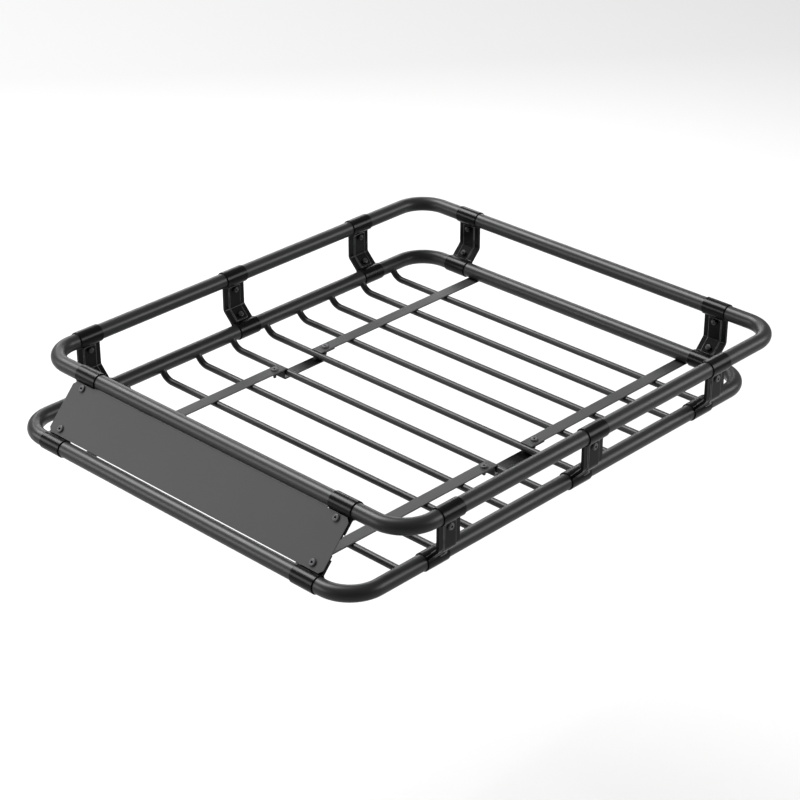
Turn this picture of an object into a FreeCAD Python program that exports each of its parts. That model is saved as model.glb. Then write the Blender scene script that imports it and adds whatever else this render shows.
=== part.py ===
"""Roof cargo basket: two tube rings, bent floor bars, floor strips, clamp brackets and a wind fairing.

Frame: X across the vehicle, +Y to the rear, +Z up. The origin is under the middle of the basket,
level with its lowest face. All sizes are millimetres and are held in the sheet "Sizes".
The front half and the rear half of the basket meet at the joint plane, inside the middle brackets.
"""
import FreeCAD, Part
import Sketcher
import math
import os

SIZES = [
    ("rail_od", 28.6, "outside diameter of the ring tubes"),
    ("rail_wall", 1.6, "wall of the ring tubes"),
    ("bend_radius", 61.5, "centreline radius of the ring corners"),
    ("top_length", 980.0, "top ring, axis to axis, front to rear"),
    ("top_width", 889.0, "top ring, axis to axis, side to side"),
    ("front_reach", 88.0, "how far the base ring runs ahead of the top ring"),
    ("inset", 33.3, "how far the base ring lies inside the top ring at the sides and rear"),
    ("rail_drop", 97.4, "height between the axes of the two rings"),
    ("joint_back", 36.25, "joint plane, ahead of the middle of the top ring"),
    ("bar_od", 12.7, "diameter of the floor bars"),
    ("bars_per_half", 5, "floor bars in each half of the basket"),
    ("bar_end_room", 49.5, "length of the top ring left over by the floor bars, at each end"),
    ("bar_drop", 21.6, "floor bar axis below the base ring axis"),
    ("bar_bend_radius", 30.0, "centreline radius of the upturned bar ends"),
    ("bar_bend_angle", 60.0, "angle of the upturned bar ends, degrees"),
    ("bar_bend_inset", 36.2, "start of the bar bend, inside the base ring axis"),
    ("bar_tail", 6.0, "straight end of the bar, inside the rail before it is coped"),
    ("strip_width", 25.4, "width of the floor strips"),
    ("strip_thick", 2.0, "thickness of the floor strips"),
    ("strip_room", 14.3, "gap between a floor strip and the front bracket beside it"),
    ("joiner_thick", 2.5, "thickness of the joiner plates"),
    ("joiner_gap", 3.65, "clearance between a floor bar and the joiner plate under it"),
    ("joiner_clear", 1.1, "clearance between a floor bar and the joiner's upright"),
    ("joiner_flange", 25.0, "length of the joiner's flanges"),
    ("joiner_bolt", 12.2, "joiner bolts from the joiner's uprights"),
    ("sleeve_length", 50.0, "length of a bracket along the rail"),
    ("sleeve_wall", 2.0, "wall of the bracket's sleeves"),
    ("sheet_thick", 2.8, "thickness of the bracket plates"),
    ("panel_rise", 2.2, "height of the pressed panel of a bracket plate"),
    ("panel_width", 28.0, "width of the pressed panel"),
    ("panel_wall", 2.5, "side wall of the pressed panel"),
    ("panel_inset", 20.0, "end of the panel's hollow from the rail axis"),
    ("bend_rise", 34.4, "bend of a side bracket above the base ring axis"),
    ("bolt_top_room", 1.4, "gap between the upper bolt head and the sleeve"),
    ("bolt_base_room", 4.4, "gap between the lower bolt head and the sleeve"),
    ("front_bracket_room", 10.2, "gap between a front bracket and the corner bend"),
    ("rear_bracket_room", 15.7, "gap between a rear bracket and the corner bend"),
    ("side_bracket_shift", 3.35, "front side brackets, ahead of the middle between two bars"),
    ("side_bracket_clear", 0.3, "gap between a rear side bracket and the floor bar beside it"),
    ("waist_half_a", 20.0, "half width of the front bracket's shoulder"),
    ("waist_half_b", 14.0, "half width of the front bracket's waist"),
    ("waist_start", 43.5, "start of the shoulder from a rail axis"),
    ("waist_inner", 51.4, "start of the waist from a rail axis"),
    ("fairing_over", 1.0, "how far the fairing and its cut-backs run past the front sleeves"),
    ("fairing_thick", 1.6, "thickness of the fairing plate"),
    ("fairing_clear", 0.5, "clearance between the fairing and the rails and sleeves"),
    ("fairing_cut", 7.0, "corner cut of the fairing"),
    ("bolt_od", 6.0, "bolt diameter"),
    ("bolt_clear", 0.3, "radial clearance of the bolt holes"),
    ("head_od", 13.6, "diameter of the button heads"),
    ("head_high", 3.3, "height of the button heads"),
    ("head_round", 2.4, "rounding of the button heads"),
    ("socket_flats", 4.0, "hexagon socket across flats"),
    ("socket_deep", 2.0, "depth of the hexagon socket"),
    ("nut_flats", 10.0, "nut across flats"),
    ("nut_high", 5.0, "height of the nuts"),
    ("bracket_bolt_length", 18.0, "bracket bolts under the head"),
    ("fairing_bolt_length", 20.0, "fairing bolts under the head"),
    ("joiner_bolt_length", 16.0, "joiner bolts under the head"),
]

doc = FreeCAD.newDocument("RoofBasket")
sheet = doc.addObject("Spreadsheet::Sheet", "Sizes")
dim = {}
for row, (alias, number, note) in enumerate(SIZES, start=1):
    sheet.set("A%d" % row, alias)
    sheet.set("B%d" % row, str(number))
    sheet.set("C%d" % row, note)
    sheet.setAlias("B%d" % row, alias)
doc.recompute()
for alias, number, note in SIZES:
    dim[alias] = float(getattr(sheet, alias))

# Places worked out from the sheet, as expressions for the objects of the document.
Z_BAR = "(Sizes.joiner_thick + Sizes.joiner_gap + Sizes.bar_od / 2)"
Z_BASE = "(%s + Sizes.bar_drop)" % Z_BAR
Z_TOP = "(%s + Sizes.rail_drop)" % Z_BASE
Y_MID = "(Sizes.front_reach / 2)"
Y_JOINT = "(%s - Sizes.joint_back)" % Y_MID
Y_TOP_FRONT = "(%s - Sizes.top_length / 2)" % Y_MID
Y_TOP_REAR = "(%s + Sizes.top_length / 2)" % Y_MID
Y_BASE_FRONT = "(%s - Sizes.front_reach)" % Y_TOP_FRONT
Y_BASE_REAR = "(%s - Sizes.inset)" % Y_TOP_REAR
X_TOP = "(Sizes.top_width / 2)"
X_BASE = "(%s - Sizes.inset)" % X_TOP
HOLE_R = "(Sizes.bolt_od / 2 + Sizes.bolt_clear)"
PANEL = "(Sizes.sheet_thick + Sizes.panel_rise)"
SLEEVE_R = "(Sizes.rail_od / 2 + Sizes.sleeve_wall)"
BAR_PITCH = "((Sizes.top_length - 2 * Sizes.bar_end_room) / (2 * Sizes.bars_per_half))"
BOLT_TOP = "(%s + Sizes.head_od / 2 + Sizes.bolt_top_room)" % SLEEVE_R
BOLT_BASE = "(%s + Sizes.head_od / 2 + Sizes.bolt_base_room)" % SLEEVE_R
BEND_DROP = "(Sizes.rail_drop - Sizes.bend_rise)"
CORNER = "(%s - Sizes.bend_radius - Sizes.sleeve_length / 2)" % X_BASE
X_FRONT_BRACKET = "(%s - Sizes.front_bracket_room)" % CORNER
X_REAR_BRACKET = "(%s - Sizes.rear_bracket_room)" % CORNER
STRIP_EDGE = "(%s - Sizes.sleeve_length / 2 - Sizes.strip_room)" % X_FRONT_BRACKET
X_STRIP = "(%s - Sizes.strip_width / 2)" % STRIP_EDGE

# The same places as numbers, for the pieces that are set out in code.
z_bar = dim["joiner_thick"] + dim["joiner_gap"] + dim["bar_od"] / 2
z_base = z_bar + dim["bar_drop"]
z_top = z_base + dim["rail_drop"]
y_mid = dim["front_reach"] / 2
y_joint = y_mid - dim["joint_back"]
y_top_front = y_mid - dim["top_length"] / 2
y_top_rear = y_mid + dim["top_length"] / 2
y_base_front = y_top_front - dim["front_reach"]
y_base_rear = y_top_rear - dim["inset"]
x_top = dim["top_width"] / 2
x_base = x_top - dim["inset"]
panel = dim["sheet_thick"] + dim["panel_rise"]
bar_pitch = (dim["top_length"] - 2 * dim["bar_end_room"]) / (2 * dim["bars_per_half"])
bolt_least = dim["rail_od"] / 2 + dim["sleeve_wall"] + dim["head_od"] / 2
bolt_top = bolt_least + dim["bolt_top_room"]
bolt_base = bolt_least + dim["bolt_base_room"]
x_bracket = x_base - dim["bend_radius"] - dim["sleeve_length"] / 2 - dim["front_bracket_room"]
x_strip = x_bracket - (dim["sleeve_length"] + dim["strip_width"]) / 2 - dim["strip_room"]
joiner_wall = bar_pitch / 2 + dim["bar_od"] / 2 + dim["joiner_clear"] + dim["joiner_thick"]
joiner_bolt = joiner_wall + dim["joiner_bolt"]

parts = []


def vec(x, y, z):
    return FreeCAD.Vector(x, y, z)


def new_body(name, export=True):
    body = doc.addObject("PartDesign::Body", name)
    body.Label = name
    if export:
        parts.append((name, body))
    return body


def new_sketch(body, name, role, offset=None):
    """A sketch on one of the body's own origin planes, shifted along the plane's normal."""
    sketch = body.newObject("Sketcher::SketchObject", name)
    plane = [f for f in body.Origin.OriginFeatures if f.Role == role][0]
    sketch.AttachmentSupport = [(plane, "")]
    sketch.MapMode = "FlatFace"
    if offset is not None:
        sketch.setExpression("AttachmentOffset.Base.z", offset)
    return sketch


def rule(*words):
    return Sketcher.Constraint(*words)


def tie(sketch, kind, geometry, position, axis, expression, start):
    """Holds one coordinate of a point: on the axis when it is 0, else at a bound distance."""
    if expression == "0":
        sketch.addConstraint(rule("PointOnObject", geometry, position, axis))
        return
    number = sketch.addConstraint(rule(kind, -1, 1, geometry, position, start))
    sketch.setExpression("Constraints[%d]" % number, expression)


def tie_point(sketch, geometry, position, x, y, start=(1.0, 1.0)):
    tie(sketch, "DistanceX", geometry, position, -2, x, start[0])
    tie(sketch, "DistanceY", geometry, position, -1, y, start[1])


def polygon(sketch, corners):
    """A closed outline whose corners are bound to expressions."""
    count = len(corners)
    first = sketch.GeometryCount
    ring = []
    for i in range(count):
        turn = 2 * math.pi * i / count
        ring.append(vec(50 * math.cos(turn), 50 * math.sin(turn), 0))
    for i in range(count):
        sketch.addGeometry(Part.LineSegment(ring[i], ring[(i + 1) % count]), False)
    for i in range(count):
        following = first + (i + 1) % count
        sketch.addConstraint(rule("Coincident", first + i, 2, following, 1))
    for i, (x, y) in enumerate(corners):
        tie_point(sketch, first + i, 1, x, y)


def circle(sketch, x, y, radius):
    number = sketch.addGeometry(Part.Circle(vec(1, 1, 0), vec(0, 0, 1), 5), False)
    tie_point(sketch, number, 3, x, y)
    datum = sketch.addConstraint(rule("Radius", number, 5.0))
    sketch.setExpression("Constraints[%d]" % datum, radius)


def pad(body, sketch, name, length, symmetric=True, reverse=False):
    feature = body.newObject("PartDesign::Pad", name)
    feature.Profile = sketch
    feature.SideType = "Symmetric" if symmetric else "One side"
    feature.Reversed = reverse
    feature.setExpression("Length", length)
    return feature


def pocket(body, sketch, name, length, symmetric=True, reverse=False):
    feature = body.newObject("PartDesign::Pocket", name)
    feature.Profile = sketch
    feature.SideType = "Symmetric" if symmetric else "One side"
    feature.Reversed = reverse
    feature.setExpression("Length", length)
    return feature


def place(body, x=None, y=None, z=None, turn=None):
    if turn is not None:
        body.Placement = FreeCAD.Placement(vec(0, 0, 0), turn)
    for axis, expression in (("x", x), ("y", y), ("z", z)):
        if expression is not None:
            body.setExpression("Placement.Base." + axis, expression)


# Rails: each ring is two U-bent tubes that meet at the joint plane.
def rail(name, half_width, y_far, far_sign, z, w, far):
    """One U-bent tube: two legs from the joint plane, two corners and the cross run."""
    body = new_body(name)
    path = new_sketch(body, name + "_path", "XY_Plane")
    r = dim["bend_radius"]
    near = far - far_sign * r
    z_axis = vec(0, 0, 1)
    left = vec(-w + r, near, 0)
    right = vec(w - r, near, 0)
    quarter = math.pi / 2
    path.addGeometry(Part.LineSegment(vec(-w, y_joint, 0), vec(-w, near, 0)), False)
    path.addGeometry(Part.LineSegment(vec(-w + r, far, 0), vec(w - r, far, 0)), False)
    path.addGeometry(Part.LineSegment(vec(w, near, 0), vec(w, y_joint, 0)), False)
    if far_sign > 0:
        spans = ((left, quarter, 2 * quarter), (right, 0, quarter))
        ends = ((3, 2, 0, 2), (3, 1, 1, 1), (4, 2, 1, 2), (4, 1, 2, 1))
    else:
        spans = ((left, 2 * quarter, 3 * quarter), (right, 3 * quarter, 4 * quarter))
        ends = ((3, 1, 0, 2), (3, 2, 1, 1), (4, 1, 1, 2), (4, 2, 2, 1))
    for centre, begin, end in spans:
        path.addGeometry(Part.ArcOfCircle(Part.Circle(centre, z_axis, r), begin, end), False)
    for arc, arc_end, line, line_end in ends:
        path.addConstraint(rule("Coincident", arc, arc_end, line, line_end))
    corner = "(%s - %d * Sizes.bend_radius)" % (y_far, far_sign)
    inner = "(%s - Sizes.bend_radius)" % half_width
    tie_point(path, 0, 1, "-" + half_width, Y_JOINT, (-w, y_joint))
    tie_point(path, 0, 2, "-" + half_width, corner, (-w, near))
    tie_point(path, 1, 1, "-" + inner, y_far, (-w + r, far))
    tie_point(path, 1, 2, inner, y_far, (w - r, far))
    tie_point(path, 2, 1, half_width, corner, (w, near))
    tie_point(path, 2, 2, half_width, Y_JOINT, (w, y_joint))
    for arc in (3, 4):
        datum = path.addConstraint(rule("Radius", arc, r))
        path.setExpression("Constraints[%d]" % datum, "Sizes.bend_radius")
    section = new_sketch(body, name + "_section", "XZ_Plane", "-" + Y_JOINT)
    circle(section, "-" + half_width, "0", "Sizes.rail_od / 2")
    circle(section, "-" + half_width, "0", "Sizes.rail_od / 2 - Sizes.rail_wall")
    sweep = body.newObject("PartDesign::AdditivePipe", name + "_tube")
    sweep.Profile = section
    sweep.Spine = (path, [])
    place(body, z=z)
    return body


rail("top_rail_front", X_TOP, Y_TOP_FRONT, -1, Z_TOP, x_top, y_top_front)
rail("top_rail_rear", X_TOP, Y_TOP_REAR, 1, Z_TOP, x_top, y_top_rear)
rail("base_rail_front", X_BASE, Y_BASE_FRONT, -1, Z_BASE, x_base, y_base_front)
rail("base_rail_rear", X_BASE, Y_BASE_REAR, 1, Z_BASE, x_base, y_base_rear)


# Floor bars: straight across the floor, both ends turned up and coped against the base ring.
def floor_bar(name, y):
    body = new_body(name)
    start = "(%s - Sizes.bar_bend_inset)" % X_BASE
    turn = "Sizes.bar_bend_angle * 1 deg"
    end_x = "(%s + Sizes.bar_bend_radius * sin(%s))" % (start, turn)
    end_z = "(Sizes.bar_bend_radius * (1 - cos(%s)))" % turn
    tip_x = "(%s + Sizes.bar_tail * cos(%s))" % (end_x, turn)
    tip_z = "(%s + Sizes.bar_tail * sin(%s))" % (end_z, turn)
    angle = math.radians(dim["bar_bend_angle"])
    r = dim["bar_bend_radius"]
    x0 = x_base - dim["bar_bend_inset"]
    x1 = x0 + r * math.sin(angle)
    z1 = r * (1 - math.cos(angle))
    x2 = x1 + dim["bar_tail"] * math.cos(angle)
    z2 = z1 + dim["bar_tail"] * math.sin(angle)
    path = new_sketch(body, name + "_path", "XZ_Plane")
    path.addGeometry(Part.LineSegment(vec(0, 0, 0), vec(x0, 0, 0)), False)
    arc = Part.Circle(vec(x0, r, 0), vec(0, 0, 1), r)
    path.addGeometry(Part.ArcOfCircle(arc, 1.5 * math.pi, 1.5 * math.pi + angle), False)
    path.addGeometry(Part.LineSegment(vec(x1, z1, 0), vec(x2, z2, 0)), False)
    path.addConstraint(rule("Coincident", 0, 2, 1, 1))
    path.addConstraint(rule("Coincident", 1, 2, 2, 1))
    tie_point(path, 0, 1, "0", "0")
    tie_point(path, 0, 2, start, "0", (x0, 0))
    tie_point(path, 2, 1, end_x, end_z, (x1, z1))
    tie_point(path, 2, 2, tip_x, tip_z, (x2, z2))
    datum = path.addConstraint(rule("Radius", 1, r))
    path.setExpression("Constraints[%d]" % datum, "Sizes.bar_bend_radius")
    section = new_sketch(body, name + "_section", "YZ_Plane")
    circle(section, "0", "0", "Sizes.bar_od / 2")
    sweep = body.newObject("PartDesign::AdditivePipe", name + "_rod")
    sweep.Profile = section
    sweep.Spine = (path, [])
    cope = new_sketch(body, name + "_cope", "XZ_Plane")
    circle(cope, X_BASE, "Sizes.bar_drop", "Sizes.rail_od / 2")
    cut = pocket(body, cope, name + "_coping", "Sizes.bar_od * 3")
    mirror = body.newObject("PartDesign::Mirrored", name + "_mirror")
    mirror.Originals = [sweep, cut]
    plane = [f for f in body.Origin.OriginFeatures if f.Role == "YZ_Plane"][0]
    mirror.MirrorPlane = (plane, [""])
    body.Tip = mirror
    place(body, y=y, z=Z_BAR)
    return body


per_half = int(dim["bars_per_half"])
for number in range(2 * per_half):
    steps = number - per_half + 0.5
    floor_bar("floor_bar_%02d" % (number + 1), "%s + %s * %s" % (Y_JOINT, steps, BAR_PITCH))


# Floor strips: two in each half, on top of the bars, from the joint bars to the base ring.
STRIP_LOW = "(%s + Sizes.bar_od / 2)" % Z_BAR
STRIP_TOP = "(%s + Sizes.strip_thick)" % STRIP_LOW
JOINER_INNER = "(%s / 2 + Sizes.bar_od / 2 + Sizes.joiner_clear)" % BAR_PITCH
JOINER_OUTER = "(%s + Sizes.joiner_thick)" % JOINER_INNER
JOINER_BOLT = "(%s + Sizes.joiner_bolt)" % JOINER_OUTER


def floor_strip(name, side, end_sign, y_rail):
    body = new_body(name)
    y_joint_end = "(%s + %d * %s / 2)" % (Y_JOINT, end_sign, BAR_PITCH)
    outline = new_sketch(body, name + "_outline", "YZ_Plane")
    corners = [(y_joint_end, STRIP_LOW), (y_rail, STRIP_LOW)]
    corners += [(y_rail, STRIP_TOP), (y_joint_end, STRIP_TOP)]
    polygon(outline, corners)
    pad(body, outline, name + "_bar", "Sizes.strip_width")
    cope = new_sketch(body, name + "_cope", "YZ_Plane")
    circle(cope, y_rail, Z_BASE, "Sizes.rail_od / 2")
    pocket(body, cope, name + "_coping", "Sizes.strip_width * 2")
    hole = new_sketch(body, name + "_hole", "XY_Plane")
    circle(hole, "0", "(%s + %d * %s)" % (Y_JOINT, end_sign, JOINER_BOLT), HOLE_R)
    pocket(body, hole, name + "_drilling", "(%s) * 4" % STRIP_TOP)
    place(body, x="%d * %s" % (side, X_STRIP))
    return body


for side, word in ((-1, "left"), (1, "right")):
    floor_strip("strip_front_" + word, side, -1, Y_BASE_FRONT)
    floor_strip("strip_rear_" + word, side, 1, Y_BASE_REAR)


# Joiner plates: a shallow hat that passes under the two joint bars and bolts under the strips.
def joiner(name, side):
    body = new_body(name)
    end = "(%s + Sizes.joiner_flange)" % JOINER_OUTER
    low = "(%s - Sizes.joiner_thick)" % STRIP_LOW
    rear = [(end, low), (end, STRIP_LOW), (JOINER_INNER, STRIP_LOW), (JOINER_INNER, "Sizes.joiner_thick")]
    front = [("-" + x, z) for x, z in reversed(rear)]
    foot = [("-" + JOINER_OUTER, low), ("-" + JOINER_OUTER, "0"), (JOINER_OUTER, "0"), (JOINER_OUTER, low)]
    outline = new_sketch(body, name + "_outline", "YZ_Plane")
    polygon(outline, rear + front + foot)
    pad(body, outline, name + "_plate", "Sizes.strip_width")
    hole = new_sketch(body, name + "_holes", "XY_Plane")
    circle(hole, "0", JOINER_BOLT, HOLE_R)
    circle(hole, "0", "-" + JOINER_BOLT, HOLE_R)
    pocket(body, hole, name + "_drilling", "(%s) * 4" % STRIP_TOP)
    place(body, x="%d * %s" % (side, X_STRIP), y=Y_JOINT)
    return body


joiner("joiner_left", -1)
joiner("joiner_right", 1)


# Brackets. A bracket's own frame has the top rail's axis along Y at the origin, X outward, Z up.
# Its middle line runs straight down, then, on the sides and rear, slants in to the base rail.
class Form:
    """The middle line of a bracket as expressions, and the points offset from it."""

    def __init__(self, inset, drop):
        self.inset = inset
        self.drop = drop
        self.run = "(%s - %s)" % (drop, BEND_DROP)
        self.slant = "sqrt(%s * %s + %s * %s)" % (inset, inset, self.run, self.run)
        self.cosine = "(%s / %s)" % (self.run, self.slant)
        self.sine = "(%s / %s)" % (inset, self.slant)
        self.half_tangent = "(%s / (%s + %s))" % (inset, self.slant, self.run)

    def bend(self, t):
        return (t, "-%s - (%s) * %s" % (BEND_DROP, t, self.half_tangent))

    def base(self, t, back):
        x = "-%s + (%s) * %s + (%s) * %s" % (self.inset, t, self.cosine, back, self.sine)
        z = "-%s - (%s) * %s + (%s) * %s" % (self.drop, t, self.sine, back, self.cosine)
        return (x, z)

    def band(self, near, far, top, back):
        """The outline between two offsets of the middle line."""
        corners = [(near, top), (far, top), self.bend(far), self.base(far, back)]
        corners += [self.base(near, back), self.bend(near)]
        return corners


BENT = Form("Sizes.inset", "Sizes.rail_drop")
FLAT_DROP = "sqrt(Sizes.front_reach * Sizes.front_reach + Sizes.rail_drop * Sizes.rail_drop)"
FLAT = Form("0", FLAT_DROP)
SPARE = "(4 * %s)" % SLEEVE_R


def bracket_half(name, form, sign, frame):
    """One pressed half: two half sleeves, the flange, the pressed panel and two bolt holes."""
    x, y, z, turn = frame
    flip = "%d * " % sign
    body = new_body(name)
    flange = new_sketch(body, name + "_flange", "XZ_Plane")
    polygon(flange, form.band("0", flip + "Sizes.sheet_thick", "0", "0"))
    pad(body, flange, name + "_flange_pad", "Sizes.sleeve_length")
    raised = new_sketch(body, name + "_panel", "XZ_Plane")
    polygon(raised, form.band("0", flip + PANEL, "0", "0"))
    pad(body, raised, name + "_panel_pad", "Sizes.panel_width")
    rings = new_sketch(body, name + "_sleeves", "XZ_Plane")
    base_x, base_z = form.base("0", "0")
    if form is FLAT:
        base_x = "0"
    circle(rings, "0", "0", SLEEVE_R)
    circle(rings, base_x, base_z, SLEEVE_R)
    pad(body, rings, name + "_sleeve_pad", "Sizes.sleeve_length")
    other = new_sketch(body, name + "_parting", "XZ_Plane")
    far = "%d * 2 * %s" % (-sign, SPARE)
    end = "-" + SPARE
    corners = [("0", SPARE), ("0", "-" + BEND_DROP), form.base("0", end)]
    corners += [form.base(far, end), (far, SPARE)]
    polygon(other, corners)
    pocket(body, other, name + "_parting_cut", "Sizes.sleeve_length * 2")
    bores = new_sketch(body, name + "_bores", "XZ_Plane")
    circle(bores, "0", "0", "Sizes.rail_od / 2")
    circle(bores, base_x, base_z, "Sizes.rail_od / 2")
    pocket(body, bores, name + "_bore_cut", "Sizes.sleeve_length * 2")
    hollow = new_sketch(body, name + "_hollow", "XZ_Plane")
    inset = "Sizes.panel_inset"
    polygon(hollow, form.band("0", flip + "Sizes.panel_rise", "-" + inset, inset))
    pocket(body, hollow, name + "_hollow_cut", "Sizes.panel_width - 2 * Sizes.panel_wall")
    upper = new_sketch(body, name + "_upper_hole", "YZ_Plane")
    circle(upper, "0", "-" + BOLT_TOP, HOLE_R)
    pocket(body, upper, name + "_upper_drilling", "Sizes.sleeve_length")
    lower = new_sketch(body, name + "_lower_hole", "YZ_Plane")
    slant_turn = math.degrees(math.atan2(*slant_of(form)))
    lower.AttachmentOffset = FreeCAD.Placement(vec(0, 0, 0), FreeCAD.Rotation(vec(1, 0, 0), slant_turn))
    hole_x, hole_z = form.base("0", BOLT_BASE)
    lower.setExpression("AttachmentOffset.Base.y", hole_z)
    lower.setExpression("AttachmentOffset.Base.z", hole_x)
    circle(lower, "0", "0", HOLE_R)
    pocket(body, lower, name + "_lower_drilling", "Sizes.sleeve_length / 2")
    if form is FLAT:
        waist(body, name, form)
    place(body, x, y, z, turn)
    return body


def waist(body, name, form):
    """The front bracket narrows in two steps between its bolts, on both sides."""
    cut = new_sketch(body, name + "_waist", "YZ_Plane")
    out = "(Sizes.sleeve_length)"
    a = "Sizes.waist_half_a"
    b = "Sizes.waist_half_b"
    top_a = "-Sizes.waist_start"
    top_b = "-Sizes.waist_inner"
    low_a = "(Sizes.waist_start - %s)" % form.drop
    low_b = "(Sizes.waist_inner - %s)" % form.drop
    for side in ("", "-"):
        corners = [(side + out, top_a), (side + a, top_a), (side + a, top_b), (side + b, top_b)]
        corners += [(side + b, low_b), (side + a, low_b), (side + a, low_a), (side + out, low_a)]
        polygon(cut, corners)
    pocket(body, cut, name + "_waist_cut", "Sizes.sleeve_length")


def slant_of(form):
    """Inset and run of the slanted part, as numbers."""
    if form is FLAT:
        return (0.0, 1.0)
    return (dim["inset"], dim["bend_rise"])


tilt = math.degrees(math.atan2(dim["front_reach"], dim["rail_drop"]))
lean = FreeCAD.Rotation(vec(1, 0, 0), -tilt)
face_front = lean.multiply(FreeCAD.Rotation(vec(0, 0, 1), -90))
face_left = FreeCAD.Rotation(vec(0, 0, 1), 180)
face_right = FreeCAD.Rotation(vec(0, 0, 1), 0)
face_rear = FreeCAD.Rotation(vec(0, 0, 1), 90)
Y_SIDE_FRONT = "%s - 4 * %s - Sizes.side_bracket_shift" % (Y_JOINT, BAR_PITCH)
SIDE_CLEAR = "(Sizes.bar_od / 2 + Sizes.side_bracket_clear + Sizes.sleeve_length / 2)"
Y_SIDE_REAR = "%s + 3.5 * %s + %s" % (Y_JOINT, BAR_PITCH, SIDE_CLEAR)
BRACKETS = [
    ("left_front", BENT, ("-" + X_TOP, Y_SIDE_FRONT, Z_TOP, face_left)),
    ("left_middle", BENT, ("-" + X_TOP, Y_JOINT, Z_TOP, face_left)),
    ("left_rear", BENT, ("-" + X_TOP, Y_SIDE_REAR, Z_TOP, face_left)),
    ("right_front", BENT, (X_TOP, Y_SIDE_FRONT, Z_TOP, face_right)),
    ("right_middle", BENT, (X_TOP, Y_JOINT, Z_TOP, face_right)),
    ("right_rear", BENT, (X_TOP, Y_SIDE_REAR, Z_TOP, face_right)),
    ("rear_left", BENT, ("-" + X_REAR_BRACKET, Y_TOP_REAR, Z_TOP, face_rear)),
    ("rear_right", BENT, (X_REAR_BRACKET, Y_TOP_REAR, Z_TOP, face_rear)),
    ("front_left", FLAT, ("-" + X_FRONT_BRACKET, Y_TOP_FRONT, Z_TOP, face_front)),
    ("front_right", FLAT, (X_FRONT_BRACKET, Y_TOP_FRONT, Z_TOP, face_front)),
]
bracket_bodies = []
for place_name, form, frame in BRACKETS:
    outer = bracket_half("bracket_%s_outer" % place_name, form, 1, frame)
    bracket_half("bracket_%s_inner" % place_name, form, -1, frame)
    bracket_bodies.append((place_name, form, outer))

# Fairing: a flat plate bolted to the two front brackets, in the slanted plane of the rails.
# Its upper edge runs close under the rail and is cut back at the sleeves.
fairing = new_body("fairing")
fairing_sketch = new_sketch(fairing, "fairing_outline", "YZ_Plane", PANEL)
EDGE = "(sqrt(%s * %s - %s * %s) + Sizes.fairing_clear)" % (SLEEVE_R, SLEEVE_R, PANEL, PANEL)
RAIL_EDGE = "(sqrt(Sizes.rail_od * Sizes.rail_od / 4 - %s * %s) + Sizes.fairing_clear)" % (PANEL, PANEL)
F_TOP = "-" + EDGE
F_RISE = "-" + RAIL_EDGE
F_LOW = "(%s - %s)" % (EDGE, FLAT_DROP)
F_INNER = "(%s - Sizes.sleeve_length / 2 - Sizes.fairing_over)" % X_FRONT_BRACKET
F_HALF = "(%s + Sizes.sleeve_length / 2 + Sizes.fairing_over)" % X_FRONT_BRACKET
F_SHORT = "(%s - Sizes.fairing_cut)" % F_HALF
F_TOP_CUT = "(%s - Sizes.fairing_cut)" % F_TOP
F_LOW_CUT = "(%s + Sizes.fairing_cut)" % F_LOW
right_edge = [(F_INNER, F_RISE), (F_INNER, F_TOP), (F_SHORT, F_TOP), (F_HALF, F_TOP_CUT)]
right_edge += [(F_HALF, F_LOW_CUT), (F_SHORT, F_LOW)]
left_edge = [("-" + x, z) for x, z in reversed(right_edge)]
polygon(fairing_sketch, right_edge + left_edge)
for side in ("", "-"):
    circle(fairing_sketch, side + X_FRONT_BRACKET, "-" + BOLT_TOP, HOLE_R)
    circle(fairing_sketch, side + X_FRONT_BRACKET, "%s - %s" % (BOLT_BASE, FLAT_DROP), HOLE_R)
pad(fairing, fairing_sketch, "fairing_plate", "Sizes.fairing_thick", symmetric=False)
place(fairing, y=Y_TOP_FRONT, z=Z_TOP, turn=face_front)


# Fasteners, each in its own frame: the seat at Z = 0, the head upward, the shank downward.
def hexagon(flats):
    half = "(%s / 2)" % flats
    corner = "(%s / sqrt(3))" % flats
    short = "(%s / (2 * sqrt(3)))" % flats
    corners = [(corner, "0"), (short, half), ("-" + short, half)]
    corners += [("-" + corner, "0"), ("-" + short, "-" + half), (short, "-" + half)]
    return corners


def screw(name, length):
    body = new_body(name, export=False)
    head = new_sketch(body, name + "_head", "XY_Plane")
    circle(head, "0", "0", "Sizes.head_od / 2")
    head_pad = pad(body, head, name + "_head_pad", "Sizes.head_high", symmetric=False)
    doc.recompute()
    rim = 0
    for index, edge in enumerate(head_pad.Shape.Edges, start=1):
        on_top = abs(edge.BoundBox.ZMin - dim["head_high"]) < 1e-4
        if on_top and edge.BoundBox.ZLength < 1e-4:
            rim = index
    rounding = body.newObject("PartDesign::Fillet", name + "_rounding")
    rounding.Base = (head_pad, ["Edge%d" % rim])
    rounding.setExpression("Radius", "Sizes.head_round")
    socket = new_sketch(body, name + "_socket", "XY_Plane", "Sizes.head_high")
    polygon(socket, hexagon("Sizes.socket_flats"))
    pocket(body, socket, name + "_socket_cut", "Sizes.socket_deep", symmetric=False)
    shank = new_sketch(body, name + "_shank", "XY_Plane")
    circle(shank, "0", "0", "Sizes.bolt_od / 2")
    pad(body, shank, name + "_shank_pad", length, symmetric=False, reverse=True)
    return body


def nut(name):
    body = new_body(name, export=False)
    outline = new_sketch(body, name + "_outline", "XY_Plane")
    polygon(outline, hexagon("Sizes.nut_flats"))
    circle(outline, "0", "0", "Sizes.bolt_od / 2")
    pad(body, outline, name + "_pad", "Sizes.nut_high", symmetric=False)
    return body


bracket_screw = screw("bracket_screw", "Sizes.bracket_bolt_length")
fairing_screw = screw("fairing_screw", "Sizes.fairing_bolt_length")
joiner_screw = screw("joiner_screw", "Sizes.joiner_bolt_length")
hex_nut = nut("hex_nut")
doc.recompute()


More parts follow.
